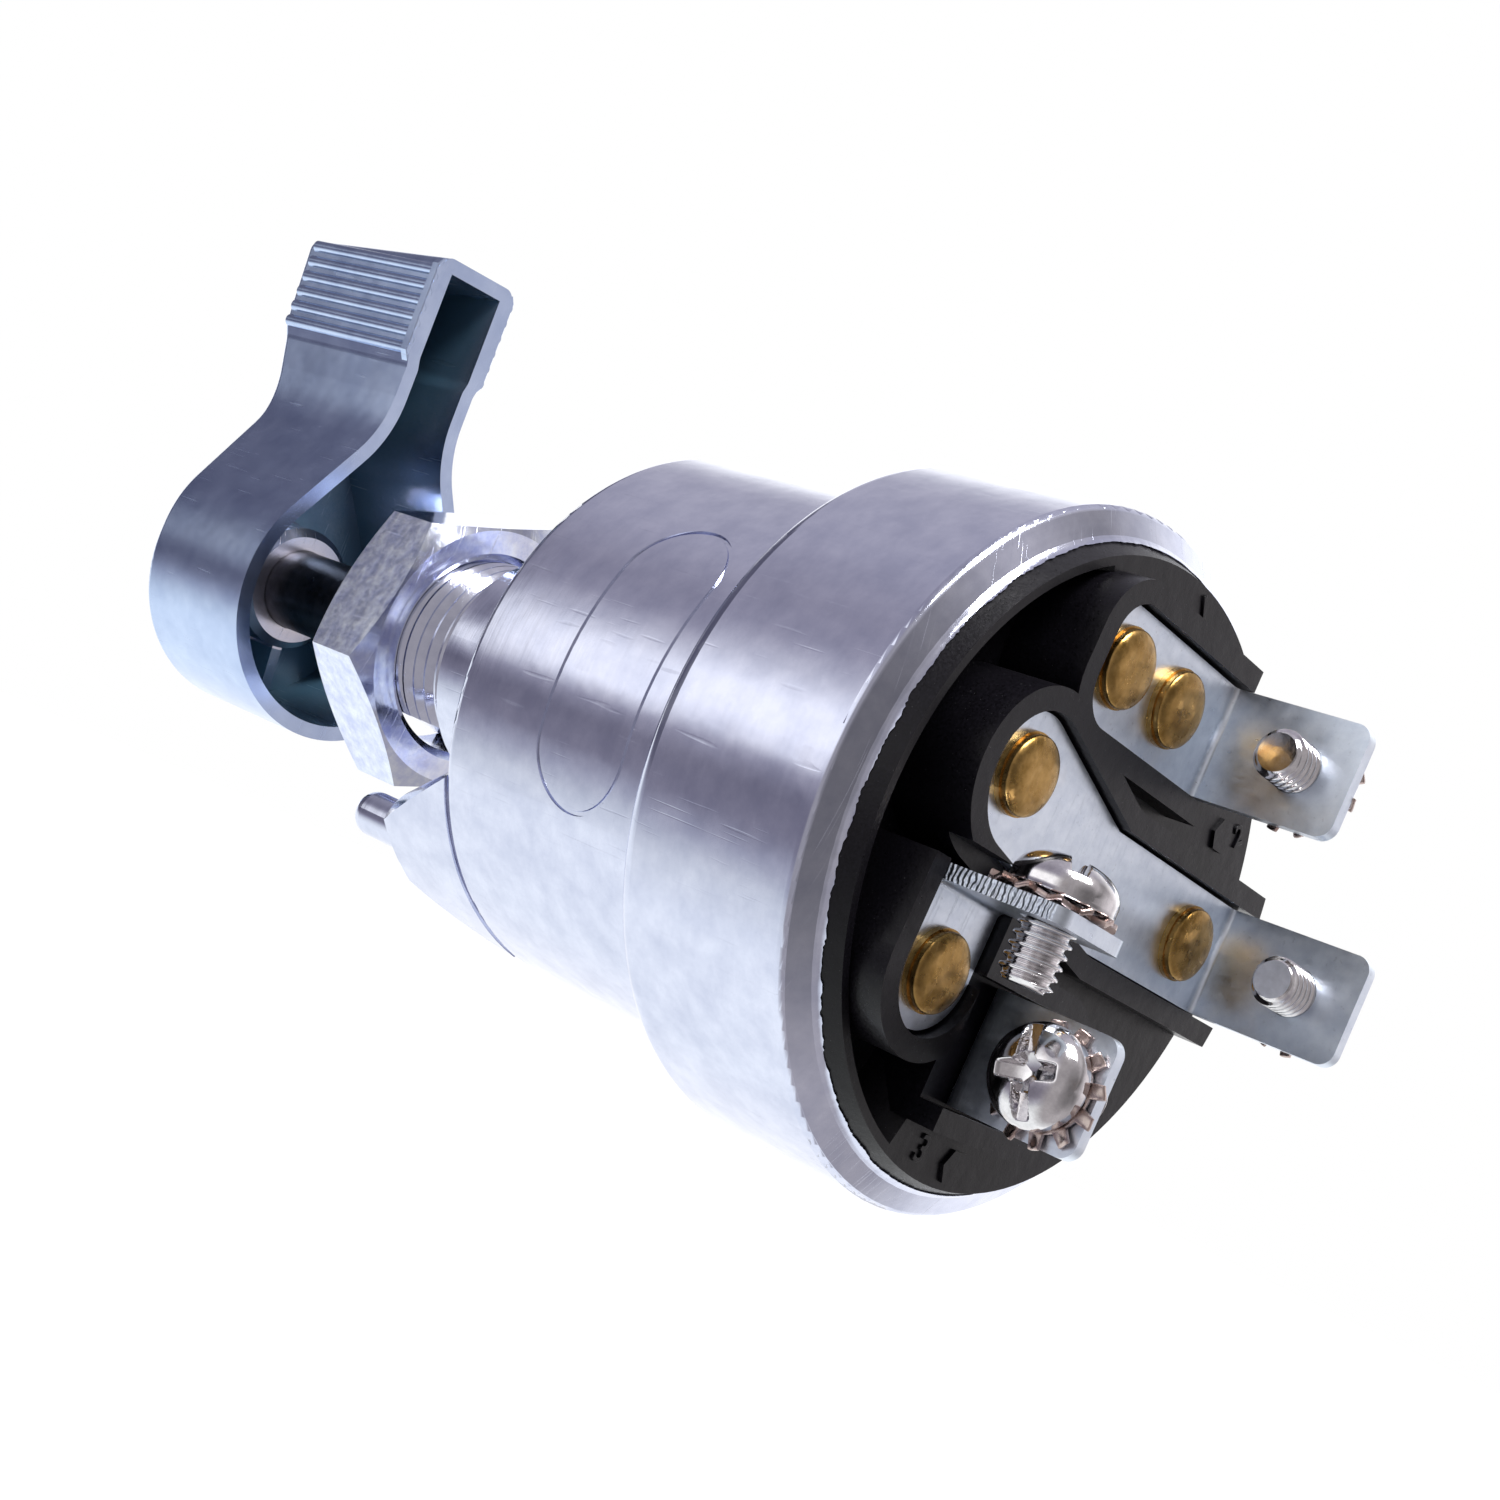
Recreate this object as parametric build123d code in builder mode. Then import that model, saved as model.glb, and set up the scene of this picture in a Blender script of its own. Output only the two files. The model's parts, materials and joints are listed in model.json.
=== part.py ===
"""Lever-operated ignition starter switch.

The switch axis is Y: the lever is at -Y, the terminals at +Y, and Z is up.
The origin is on the axis, in the plane of the small drum's front face.
Lengths are in millimetres.
"""
from math import acos, atan, atan2, cos, degrees, hypot, radians, sin, sqrt, tan
import os

from build123d import *

os.makedirs("parts", exist_ok=True)

# Clearances
running_clearance = 0.05     # radial, shaft in its bore
slide_clearance = 0.1        # radial, pieces that slide in a moulded part
pocket_clearance = 0.25      # round a terminal plate in its pocket
touch_clearance = 0.05       # between contacts that wipe over each other
fastener_clearance = 0.02    # radial, round a screw or rivet in its hole

# Housing, stations along Y
small_drum_r = 24.0
small_drum_len = 25.3
big_drum_r = 28.0
lip_back = 43.4
lip_thickness = 1.2
lip_width = 2.3              # of the rolled band, from the drum's side inwards
lip_drop = 1.3               # of the band's outer edge below its inner edge
lip_round = 0.7
front_wall = 2.5
side_wall = 2.5
step_wall = 2.2
front_edge_round = 0.9
step_edge_round = 1.6
neck_r = 11.0
neck_len = 18.6
neck_edge = 0.5
neck_root_round = 0.8
thread_r = 9.525
thread_pitch = 1.5875
thread_depth = 0.6
thread_len = 19.0
thread_flat = 7.9            # height of the flat below the axis

# Index pin and its boss, on the small drum's front face
pin_circle_r = 21.3
pin_angle = -55.0
pin_r = 2.0
pin_tip = 16.8
pin_round = 1.5
boss_height = 9.3
boss_foot_r = 9.8
boss_top_r = 4.2

# Witness line of the die insert on the drum's side
panel_angle = 3.5
panel_length = 24.6
panel_width = 9.8
panel_mid = 15.4
panel_line = 0.35
panel_depth = 0.15

# Mounting nut
nut_flats = 25.4
nut_thickness = 8.0
nut_gap = 7.0                # bare thread between the neck and the nut
nut_turn = -22.0
nut_edge_r = 12.5
nut_edge_drop = 1.1
nut_mouth = 0.7

# Lever, drawn upright and then turned by lever_lean about the axis
lever_lean = -6.0
lever_gap = 8.9              # from the thread's front end to the lever
lever_hub_depth = 16.9
lever_hub_r = 13.8
lever_tip_depth = 23.2
lever_top = 36.8
lever_bends = ((0.0, 1.0), (1.8, 15.3), (5.5, 26.6))  # in front of the hub, and height
lever_bend_round = 15.0
lever_top_drop = 0.9         # of the top face, from back to front
lever_wall = 1.5
lever_front_wall = 2.0
lever_edge_round = 0.8
arm_half = 4.65
shoulder_angle = 33.0
shoulder_round = 12.0
tip_round = 1.2
grip_from = 25.0
grip_slope = 1.2             # length of the run up to the raised grip
grip_rise = 0.3
grip_round = 2.0
rib_count = 6
rib_pitch = 1.68
rib_first = 26.7
rib_r = 0.65
rib_height = 0.45
hub_boss_r = 6.45
hub_boss_sink = 9.7
hub_boss_round = 0.8
hub_web = 1.2
hub_web_drop = 0.8
hub_web_angles = (-150.0, -95.0, -30.0)

# Shaft and what it carries
shaft_r = 4.2
shaft_flat = 3.2
shaft_cover = 2.4            # lever metal in front of the shaft's end
shaft_drive = 3.4            # length of the flats in the lever
shaft_tail = 20.0
shaft_tail_drive = 6.0
collar_r = 8.0
collar_thickness = 2.0
thrust_thickness = 0.8
seal_station = -32.0
seal_wire_r = 0.6
seal_groove_width = 1.5
lever_screw_r = 2.0
lever_screw_sink = 1.0
lever_screw_len = 8.0

# Rotor inside the housing
rotor_gap = 0.6
rotor_front = 15.5
rotor_back = 27.0
nose_r = 6.0
nose_flat = 4.6
nose_len = 7.6
detent_station = 23.4
ball_r = 2.5
detent_depth = 0.3
ball_bore_floor = 9.0
travel_back = 35.0
travel_on = 35.0
travel_start = 60.0
stop_rib_width = 6.0
stop_rib_inner = 15.2
stop_rib_end = 12.5
stop_ring_inner = 15.6
stop_ring_front = 10.0
stop_clearance_deg = 0.6
dog_inner = 12.2
dog_outer = 14.6
dog_front = 9.4
dog_width = 3.0
dog_angle = -110.0

# Springs
return_wire_r = 0.7
return_coil_r = 10.2
return_turns = 3.25
return_pitch = 1.55
return_start = 6.2
return_front_leg = 18.5
return_back_leg = 14.4
contact_wire_r = 0.6
contact_coil_r = 8.2
contact_turns = 3.0
detent_wire_r = 0.3
detent_coil_r = 1.9
detent_turns = 7.0

# Terminal base
base_front = 37.0
gasket_thickness = 0.5
drum_wall = 1.5
seat_width = 2.4
lip_gap = 0.1
base_rim_back = 45.0
rim_taper = 0.7
rim_width = 0.7
recess_slope = 1.8
recess_floor = 40.5
recess_from = -72.0
recess_to = 62.0
plate_thickness = 1.2
plate_top = 46.8
wall_top = 47.8
pocket_wall = 1.8
wedge_slot = ((-8.0, 6.9), (2.4, 6.9), (2.4, 7.9))
wedge_slot_depth = 2.0
pip_r = 1.5
pip_height = 0.3
pip_places = ((-17.8, 9.8), (-1.2, -23.0))

# Terminals: tab faces and rows read off the photograph, X and Z
strip_width = 9.2
end_corner_1 = 3.0
bend_inner = 0.5
tab_corner = 1.3
screw_stations = (54.1, 54.4, 53.9, 53.3)
tab_1 = -9.1
row_1 = 15.05
end_1 = 11.5
tab_end_1 = 58.9
tab_2_inset = 2.3            # of the tab's outer face from the base's rim
row_2 = 0.35
elbow_2 = ((-0.8, 4.95), (-2.5, -4.25))
lobe_2 = (13.3, 4.2)
lobe_r = 5.0
tab_end_2 = 59.8
tab_3 = -3.6
column_3 = 13.95
end_3 = -15.0
tab_end_3 = 57.5
tab_4 = 5.0
row_4 = -14.2
end_4 = -7.0
tab_end_4 = 57.5
pocket_end_4 = 7.3

# Rivets
rivet_1a_reach = 3.4         # back from the plate's round end
rivet_1b_reach = 11.8
rivet_2a_shift = (0.6, 0.3)  # from the centre of the lobe
rivet_2b_reach = 6.8         # from the tab's outer face
rivet_3_shift = (0.2, 4.4)   # from the plate's round end
rivet_4_shift = (6.0, -0.2)
rivet_shank_r = 1.5
rivet_head_r = 3.0
rivet_step_r = 3.15
rivet_step = 0.45
rivet_edge = 0.85            # height of the head's side, from the plate
rivet_head_height = 1.5
rivet_flat_r = 1.0           # of the flat on top of the head
rivet_inner_r = 2.6
rivet_inner_height = 1.0

# Terminal screws and their star washers
screw_r = 2.085
screw_lens = (5.4, 5.8, 6.4, 6.4)
screw_head_r = 3.9
screw_head_height = 2.6
screw_head_edge = 0.7
screw_turns = (20.0, 65.0, 40.0, -8.0)
screw_slot = 1.1
screw_slot_depth = 0.9
washer_thickness = 0.8
washer_r = 4.75
washer_root_r = 3.85
washer_hole_r = 2.6
washer_shifts = ((0, 0.3, -0.3), (0, 0.3, -0.3), (0.25, -0.35, 0), (0, 0.3, -0.3))
washer_teeth = 12
washer_tooth = 1.2

# Contact plate
contact_circle_r = 15.15
contact_arm = 6.5
contact_thickness = 1.0
contact_dimple_r = 2.0
contact_dimple = 0.5
contact_hub_r = 10.6
contact_angles = (0.0, 135.0, 225.0)

# Stations that follow from the sizes above
neck_front = -(neck_len + thread_len)
nut_back = -(neck_len + nut_gap)
lever_back = neck_front - lever_gap
hub_front = lever_back - lever_hub_depth
hub_boss_back = lever_back - hub_boss_sink
shaft_front = hub_front + shaft_cover
chamber_r = small_drum_r - side_wall
step_inside = small_drum_len + step_wall
lip_r = big_drum_r - lip_width
base_r = big_drum_r - drum_wall - slide_clearance
base_seat_r = base_r - seat_width
base_neck_r = lip_r - lip_gap
base_rim_r = base_neck_r - rim_taper
recess_mouth_r = base_rim_r - rim_width
recess_r = recess_mouth_r - recess_slope
tab_2 = -(base_rim_r - tab_2_inset)
lip_front = lip_back - lip_thickness
ledge = base_front - gasket_thickness
bore_r = shaft_r + running_clearance
plate_floor = plate_top - plate_thickness
pin_x = pin_circle_r * cos(radians(pin_angle))
pin_z = pin_circle_r * sin(radians(pin_angle))
collar_front = front_wall + thrust_thickness
collar_back = collar_front + collar_thickness
contact_back = base_front - rivet_inner_height - touch_clearance
contact_front = contact_back - contact_dimple - contact_thickness
rotor_r = chamber_r - rotor_gap
ball_circle_r = chamber_r - touch_clearance - ball_r
strip_half = strip_width / 2
rivet_places = (
    (end_1 - rivet_1a_reach, row_1),
    (end_1 - rivet_1b_reach, row_1),
    (lobe_2[0] + rivet_2a_shift[0], lobe_2[1] + rivet_2a_shift[1]),
    (tab_2 + rivet_2b_reach, row_2),
    (column_3 + rivet_3_shift[0], end_3 + rivet_3_shift[1]),
    (end_4 + rivet_4_shift[0], row_4 + rivet_4_shift[1]),
)


def across(y, turn=0.0):
    """Plane square to the axis, seen from the lever's end.

    Its normal is -Y, so a negative extrusion runs towards the terminals.
    With no turn its x is X and its y is Z.
    """
    a = radians(turn)
    return Plane(origin=(0, y, 0), x_dir=(cos(a), 0, sin(a)), z_dir=(0, -1, 0))


def beside(u, turn=0.0):
    """Plane square to the turned u direction, with x along Y."""
    a = radians(turn)
    return Plane(
        origin=(u * cos(a), 0, u * sin(a)),
        x_dir=(0, 1, 0),
        z_dir=(cos(a), 0, sin(a)),
    )


def polar(r, angle):
    return (r * cos(radians(angle)), r * sin(radians(angle)))


def finish(piece, name):
    piece.part.label = name
    export_step(piece.part, f"parts/{name}.step")


def turned(*points):
    """Solid of revolution about the switch axis; points are (radius, Y)."""
    with BuildPart() as solid:
        with BuildSketch(Plane.XY):
            with BuildLine():
                Polyline(*points, close=True)
            make_face()
        revolve(axis=Axis.Y)
    return solid.part


def sector(inner, outer, start, stop):
    """Ring sector from start to stop, in degrees counterclockwise from X."""
    steps = 6
    angles = [start + (stop - start) * step / steps for step in range(steps + 1)]
    with BuildSketch() as piece:
        with BuildLine():
            Polyline((0, 0), *[polar(2 * outer, angle) for angle in angles], close=True)
        make_face()
        Circle(outer, mode=Mode.INTERSECT)
        if inner > 0:
            Circle(inner, mode=Mode.SUBTRACT)
    return piece.sketch


def two_flats(radius, half):
    """Round with two flats, each half away from the centre."""
    with BuildSketch() as piece:
        Circle(radius)
        Rectangle(2 * half, 2 * radius, mode=Mode.INTERSECT)
    return piece.sketch


# Housing: one zinc casting with threaded neck, two drums and a rolled lip

def thread_points():
    """Outline of the neck's thread, from the neck's front end back."""
    turns = int((thread_len - thread_depth) / thread_pitch)
    first = neck_front + thread_depth
    points = [(bore_r, neck_front), (thread_r - thread_depth, neck_front)]
    for turn in range(turns):
        start = first + turn * thread_pitch
        points.append((thread_r, start + 0.4 * thread_pitch))
        points.append((thread_r, start + 0.55 * thread_pitch))
        points.append((thread_r - thread_depth, start + 0.95 * thread_pitch))
    points.append((thread_r - thread_depth, -neck_len))
    return points


with BuildPart() as index_boss:
    with BuildSketch(across(0)):
        with Locations((pin_x, pin_z)):
            Circle(boss_foot_r)
    extrude(
        amount=boss_height,
        taper=degrees(atan((boss_foot_r - boss_top_r) / boss_height)),
    )
    with BuildSketch(across(0)):
        Circle(small_drum_r)
    extrude(amount=boss_height, mode=Mode.INTERSECT)
    with BuildSketch(across(0)):
        with Locations((pin_x, pin_z)):
            Circle(pin_r)
    extrude(amount=pin_tip)
    fillet(index_boss.edges().group_by(Axis.Y)[0], pin_round)

with BuildPart() as panel_groove:
    with BuildSketch(beside(0, panel_angle)):
        with Locations((panel_mid, 0)):
            SlotOverall(panel_length, panel_width, rotation=90)
            SlotOverall(
                panel_length - 2 * panel_line,
                panel_width - 2 * panel_line,
                rotation=90,
                mode=Mode.SUBTRACT,
            )
    extrude(amount=2 * small_drum_r)
    with BuildSketch(across(0)):
        Circle(2 * small_drum_r)
        Circle(small_drum_r - panel_depth, mode=Mode.SUBTRACT)
    extrude(amount=-small_drum_len, mode=Mode.INTERSECT)

with BuildPart() as housing:
    with BuildSketch(Plane.XY):
        with BuildLine():
            teeth = Polyline(*thread_points())
            neck = Polyline(
                teeth @ 1,
                (neck_r - neck_edge, -neck_len),
                (neck_r, -neck_len + neck_edge),
                (neck_r, 0),
                (small_drum_r - front_edge_round, 0),
            )
            front_edge = RadiusArc(
                neck @ 1, (small_drum_r, front_edge_round), -front_edge_round
            )
            side = Polyline(
                front_edge @ 1,
                (small_drum_r, small_drum_len),
                (big_drum_r - step_edge_round, small_drum_len),
            )
            step_edge = RadiusArc(
                side @ 1, (big_drum_r, small_drum_len + step_edge_round), -step_edge_round
            )
            roll = FilletPolyline(
                step_edge @ 1,
                (big_drum_r, lip_back - lip_drop),
                (lip_r, lip_back),
                radius=lip_round,
            )
            Polyline(
                roll @ 1,
                (lip_r, lip_front),
                (base_r + slide_clearance, lip_front),
                (base_r + slide_clearance, ledge),
                (base_seat_r, ledge),
                (base_seat_r, step_inside),
                (chamber_r, step_inside),
                (chamber_r, front_wall),
                (bore_r, front_wall),
                teeth @ 0,
            )
        make_face()
    revolve(axis=Axis.Y)
    neck_root = housing.edges().filter_by(GeomType.CIRCLE).filter_by(
        lambda edge: abs(edge.radius - neck_r) < 1e-4 and abs(edge.center().Y) < 1e-4
    )
    fillet(neck_root, neck_root_round)
    # Flat along the thread, which stops a keyed washer from turning
    with BuildSketch(across(-neck_len)):
        with Locations((0, -thread_flat - thread_r / 2)):
            Rectangle(3 * thread_r, thread_r)
    extrude(amount=thread_len, mode=Mode.SUBTRACT)
    add(index_boss.part)
    add(panel_groove.part, mode=Mode.SUBTRACT)
    # Detent grooves for both balls, one pair for each lever position
    with BuildSketch(across(detent_station - 2 * ball_r)):
        for position in (-travel_back, 0, travel_on, travel_start):
            with PolarLocations(
                chamber_r + detent_depth - ball_r, 2, start_angle=-position
            ):
                Circle(ball_r)
    extrude(amount=-(step_inside - detent_station + 2 * ball_r), mode=Mode.SUBTRACT)
    # Rib that stops the rotor at both ends of its travel
    rib_outer = chamber_r + side_wall / 2
    with BuildSketch(across(front_wall / 2)):
        with Locations((0, -(stop_rib_inner + rib_outer) / 2)):
            Rectangle(stop_rib_width, rib_outer - stop_rib_inner)
    extrude(amount=-(stop_rib_end - front_wall / 2))
    # Notch in the rib that holds the return spring's front leg
    with BuildSketch(across(return_start - return_wire_r - slide_clearance)):
        with Locations((0, -(stop_rib_inner + return_front_leg) / 2)):
            Rectangle(
                2 * (return_wire_r + slide_clearance),
                return_front_leg - stop_rib_inner + 1,
            )
    extrude(amount=-stop_rib_end, mode=Mode.SUBTRACT)
finish(housing, "housing")


# Mounting nut: chamfered hexagon with a countersunk bore

nut_front = nut_back - nut_thickness
nut_corner_r = nut_flats / 2 / cos(radians(30))
nut_bore_r = thread_r + running_clearance

with BuildPart() as mounting_nut:
    add(
        turned(
            (nut_bore_r + nut_mouth, nut_back),
            (nut_edge_r, nut_back),
            (nut_corner_r, nut_back - nut_edge_drop),
            (nut_corner_r, nut_front + nut_edge_drop),
            (nut_edge_r, nut_front),
            (nut_bore_r + nut_mouth, nut_front),
            (nut_bore_r, nut_front + nut_mouth),
            (nut_bore_r, nut_back - nut_mouth),
        )
    )
    with BuildSketch(across(nut_back)):
        RegularPolygon(nut_corner_r, 6, rotation=nut_turn)
    extrude(amount=nut_thickness, mode=Mode.INTERSECT)
finish(mounting_nut, "mounting_nut")


# Lever: die casting, hollow and open at the back, with ribbed grip sides

def lever_outline(inset):
    """Hub and arm seen from the front, made smaller by inset."""
    half = arm_half - inset
    grip = half + grip_rise
    top = lever_top - inset
    touch_x, touch_z = polar(lever_hub_r - inset, shoulder_angle)
    meet = touch_z + (touch_x - half) / tan(radians(shoulder_angle))
    round_in = shoulder_round + inset
    with BuildSketch() as outline:
        with BuildLine():
            arm = FilletPolyline(
                (touch_x, touch_z),
                (half, meet),
                (half, grip_from),
                (grip, grip_from + grip_slope),
                (grip, top),
                (-grip, top),
                (-grip, grip_from + grip_slope),
                (-half, grip_from),
                (-half, meet),
                (-touch_x, touch_z),
                radius=(round_in, grip_round, grip_round, 0, 0, grip_round, grip_round, round_in),
            )
            ThreePointArc(arm @ 1, (0, inset - lever_hub_r), arm @ 0)
        make_face()
    return outline.sketch


def lever_side(front_inset, top_inset):
    """Side view of the lever, whose front face runs forward to the tip."""
    low = -1.1 * lever_hub_r
    top = lever_top - top_inset
    tip = lever_back - lever_tip_depth + front_inset
    front = hub_front + front_inset
    bends = [(front - forward, height) for forward, height in lever_bends]
    bend_rounds = [lever_bend_round] * len(lever_bends)
    with BuildPart() as block:
        with BuildSketch(beside(low, lever_lean)):
            with BuildLine():
                FilletPolyline(
                    (lever_back, low),
                    (front, low),
                    *bends,
                    (tip, top - lever_top_drop),
                    (lever_back, top),
                    radius=(0, 0, *bend_rounds, 0, 0),
                    close=True,
                )
            make_face()
        extrude(amount=-2 * low)
    return block.part


with BuildPart() as lever_body:
    with BuildSketch(across(lever_back, lever_lean)):
        add(lever_outline(0))
    extrude(amount=lever_tip_depth)
    add(lever_side(0, 0), mode=Mode.INTERSECT)
    top_face = lever_body.faces().sort_by(Axis.Z)[-1]
    fillet(top_face.edges().filter_by(lambda edge: abs((edge % 0.5).Y) > 0.9), tip_round)
    # Round the front all along, but not where its flats and bends meet
    sideways = Vector(cos(radians(lever_lean)), 0, sin(radians(lever_lean)))
    front_faces = lever_body.faces().filter_by(lambda face: face.normal_at().Y < -0.5)
    front_edges = front_faces.edges().filter_by(
        lambda edge: edge.geom_type != GeomType.LINE
        or abs((edge % 0.5).dot(sideways)) < 0.99
        or (edge @ 0.5).Z > 0.9 * lever_top
    )
    fillet(front_edges, lever_edge_round)

with BuildPart() as lever_hollow:
    with BuildSketch(across(lever_back, lever_lean)):
        add(lever_outline(lever_wall))
    extrude(amount=lever_tip_depth)
    add(lever_side(lever_front_wall, lever_wall), mode=Mode.INTERSECT)

hub_floor = hub_front + lever_front_wall
screw_seat = hub_front + lever_screw_sink

with BuildPart() as lever:
    add(lever_body.part)
    # Grip ribs along both sides of the tip
    with BuildSketch(across(lever_back, lever_lean)):
        for rib in range(rib_count):
            for side_x in (-1, 1):
                rib_x = side_x * (arm_half + grip_rise + rib_height - rib_r)
                with Locations((rib_x, rib_first + rib * rib_pitch)):
                    Circle(rib_r)
    extrude(amount=lever_tip_depth - 2 * lever_edge_round)
    add(lever_hollow.part, mode=Mode.SUBTRACT)
    # Boss for the shaft inside the hub, held by webs
    add(
        turned(
            (0, hub_boss_back),
            (hub_boss_r - hub_boss_round, hub_boss_back),
            (hub_boss_r, hub_boss_back - hub_boss_round),
            (hub_boss_r, hub_floor - lever_front_wall / 2),
            (0, hub_floor - lever_front_wall / 2),
        )
    )
    with BuildSketch(across(hub_boss_back - hub_web_drop, lever_lean)):
        for angle in hub_web_angles:
            with Locations(Rotation(0, 0, angle)):
                with Locations((lever_hub_r / 2, 0)):
                    Rectangle(lever_hub_r - lever_wall, hub_web)
    extrude(amount=hub_boss_back - hub_web_drop - hub_floor + lever_front_wall / 2)
    with BuildSketch(across(hub_boss_back)):
        Circle(bore_r)
    extrude(amount=hub_boss_back - shaft_front - shaft_drive, mode=Mode.SUBTRACT)
    with BuildSketch(across(shaft_front + shaft_drive, lever_lean)):
        add(two_flats(bore_r, shaft_flat + running_clearance))
    extrude(amount=shaft_drive + running_clearance, mode=Mode.SUBTRACT)
    with BuildSketch(across(shaft_front)):
        Circle(lever_screw_r + slide_clearance)
    extrude(amount=shaft_front - hub_front, mode=Mode.SUBTRACT)
    with BuildSketch(across(screw_seat)):
        Circle(screw_head_r + pocket_clearance)
    extrude(amount=screw_head_height, mode=Mode.SUBTRACT)
finish(lever, "lever")


# Shaft: one turned steel piece with a thrust collar

with BuildPart() as shaft:
    groove_r = bore_r - 2 * seal_wire_r
    add(
        turned(
            (0, shaft_front),
            (shaft_r, shaft_front),
            (shaft_r, seal_station - seal_groove_width / 2),
            (groove_r, seal_station - seal_groove_width / 2),
            (groove_r, seal_station + seal_groove_width / 2),
            (shaft_r, seal_station + seal_groove_width / 2),
            (shaft_r, collar_front),
            (collar_r, collar_front),
            (collar_r, collar_back),
            (shaft_r, collar_back),
            (shaft_r, shaft_tail),
            (0, shaft_tail),
        )
    )
    with BuildSketch(across(shaft_front, lever_lean)):
        Circle(2 * shaft_r)
        add(two_flats(shaft_r, shaft_flat), mode=Mode.SUBTRACT)
    extrude(amount=-shaft_drive, mode=Mode.SUBTRACT)
    with BuildSketch(across(shaft_tail)):
        Circle(2 * shaft_r)
        add(two_flats(shaft_r, shaft_flat), mode=Mode.SUBTRACT)
    extrude(amount=shaft_tail_drive, mode=Mode.SUBTRACT)
    # Tapped hole for the lever's screw
    with BuildSketch(across(shaft_front)):
        Circle(lever_screw_r + fastener_clearance)
    extrude(amount=-(lever_screw_len + screw_seat - shaft_front + 1), mode=Mode.SUBTRACT)
finish(shaft, "shaft")

with BuildPart() as shaft_seal:
    with BuildSketch(Plane.XY):
        with Locations((bore_r - seal_wire_r, seal_station)):
            Circle(seal_wire_r - touch_clearance / 2)
    revolve(axis=Axis.Y)
finish(shaft_seal, "shaft_seal")

with BuildPart() as thrust_washer:
    add(
        turned(
            (bore_r, front_wall),
            (collar_r, front_wall),
            (collar_r, collar_front),
            (bore_r, collar_front),
        )
    )
finish(thrust_washer, "thrust_washer")


# Rotor: moulded carrier with stop ring, spring dog, ball bores and a nose

ball_reach = rotor_r + ball_r

with BuildPart() as rotor:
    add(
        turned(
            (0, rotor_front),
            (rotor_r, rotor_front),
            (rotor_r, rotor_back),
            (0, rotor_back),
        )
    )
    # Stop ring, open where the housing's rib passes
    rib_half = degrees(atan2(stop_rib_width / 2, stop_ring_inner))
    open_from = -90 - rib_half - travel_back - stop_clearance_deg
    open_to = -90 + rib_half + travel_start + stop_clearance_deg
    with BuildSketch(across(rotor_front)):
        add(sector(stop_ring_inner, rotor_r, open_to, open_from + 360))
    extrude(amount=rotor_front - stop_ring_front)
    # Dog that winds the return spring
    with BuildSketch(across(rotor_front)):
        with Locations(Rotation(0, 0, dog_angle)):
            with Locations(((dog_inner + dog_outer) / 2, 0)):
                Rectangle(dog_outer - dog_inner, dog_width)
    extrude(amount=rotor_front - dog_front)
    # Nose that drives the contact plate
    with BuildSketch(across(rotor_back)):
        add(two_flats(nose_r, nose_flat))
    extrude(amount=-nose_len)
    # Bores for the two detent balls
    with BuildSketch(Plane.YZ):
        with Locations((detent_station, 0)):
            Circle(ball_r + slide_clearance)
    extrude(amount=ball_reach, both=True, mode=Mode.SUBTRACT)
    with BuildSketch(Plane.YZ):
        with Locations((detent_station, 0)):
            Circle(ball_r + slide_clearance)
    extrude(amount=ball_bore_floor, both=True)
    with BuildSketch(across(rotor_front)):
        add(two_flats(bore_r, shaft_flat + running_clearance))
    extrude(amount=-(shaft_tail - rotor_front + touch_clearance), mode=Mode.SUBTRACT)
finish(rotor, "rotor")


# Springs

def coil(base, wire_r, coil_r, pitch, turns):
    """Round-wire coil that winds up along the base plane's normal."""
    with BuildPart() as spring:
        with BuildLine() as path:
            Helix(pitch, pitch * turns, coil_r)
        with BuildSketch(Plane(origin=path.line @ 0, z_dir=path.line % 0)):
            Circle(wire_r)
        sweep()
    return base.location * spring.part


def leg(start, stop, wire_r):
    """Straight piece of round wire with a ball at its start."""
    with BuildPart() as wire:
        with BuildLine() as path:
            Line(start, stop)
        with BuildSketch(Plane(origin=path.line @ 0, z_dir=path.line % 0)):
            Circle(wire_r)
        sweep()
        with Locations(start):
            Sphere(wire_r)
    return wire.part


# The coil starts at the bottom and ends a quarter turn on, at -X
return_end = return_start + return_turns * return_pitch
return_base = Plane(origin=(0, return_start, 0), x_dir=(0, 0, -1), z_dir=(0, 1, 0))

with BuildPart() as return_spring:
    add(coil(return_base, return_wire_r, return_coil_r, return_pitch, return_turns))
    add(
        leg(
            (0, return_start, -return_coil_r),
            (0, return_start, -return_front_leg),
            return_wire_r,
        )
    )
    add(
        leg(
            (-return_coil_r, return_end, 0),
            (-return_back_leg, return_end, 0),
            return_wire_r,
        )
    )
finish(return_spring, "return_spring")

contact_free = contact_front - rotor_back - 2 * (contact_wire_r + touch_clearance)
contact_pitch = contact_free / contact_turns
contact_base = Plane(
    origin=(0, rotor_back + contact_wire_r + touch_clearance, 0),
    x_dir=(1, 0, 0),
    z_dir=(0, 1, 0),
)

with BuildPart() as contact_spring:
    add(
        coil(contact_base, contact_wire_r, contact_coil_r, contact_pitch, contact_turns)
    )
finish(contact_spring, "contact_spring")

detent_from = ball_bore_floor + detent_wire_r
detent_mean_r = detent_coil_r - detent_wire_r
detent_reach = sqrt((ball_r + detent_wire_r + touch_clearance) ** 2 - detent_mean_r**2)
detent_pitch = (ball_circle_r - detent_reach - detent_from) / detent_turns


def detent_spring(side):
    """Spring behind one ball, on the side given by the sign."""
    plane = Plane(
        origin=(side * detent_from, detent_station, 0),
        x_dir=(0, 1, 0),
        z_dir=(side, 0, 0),
    )
    return coil(plane, detent_wire_r, detent_mean_r, detent_pitch, detent_turns)


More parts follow.
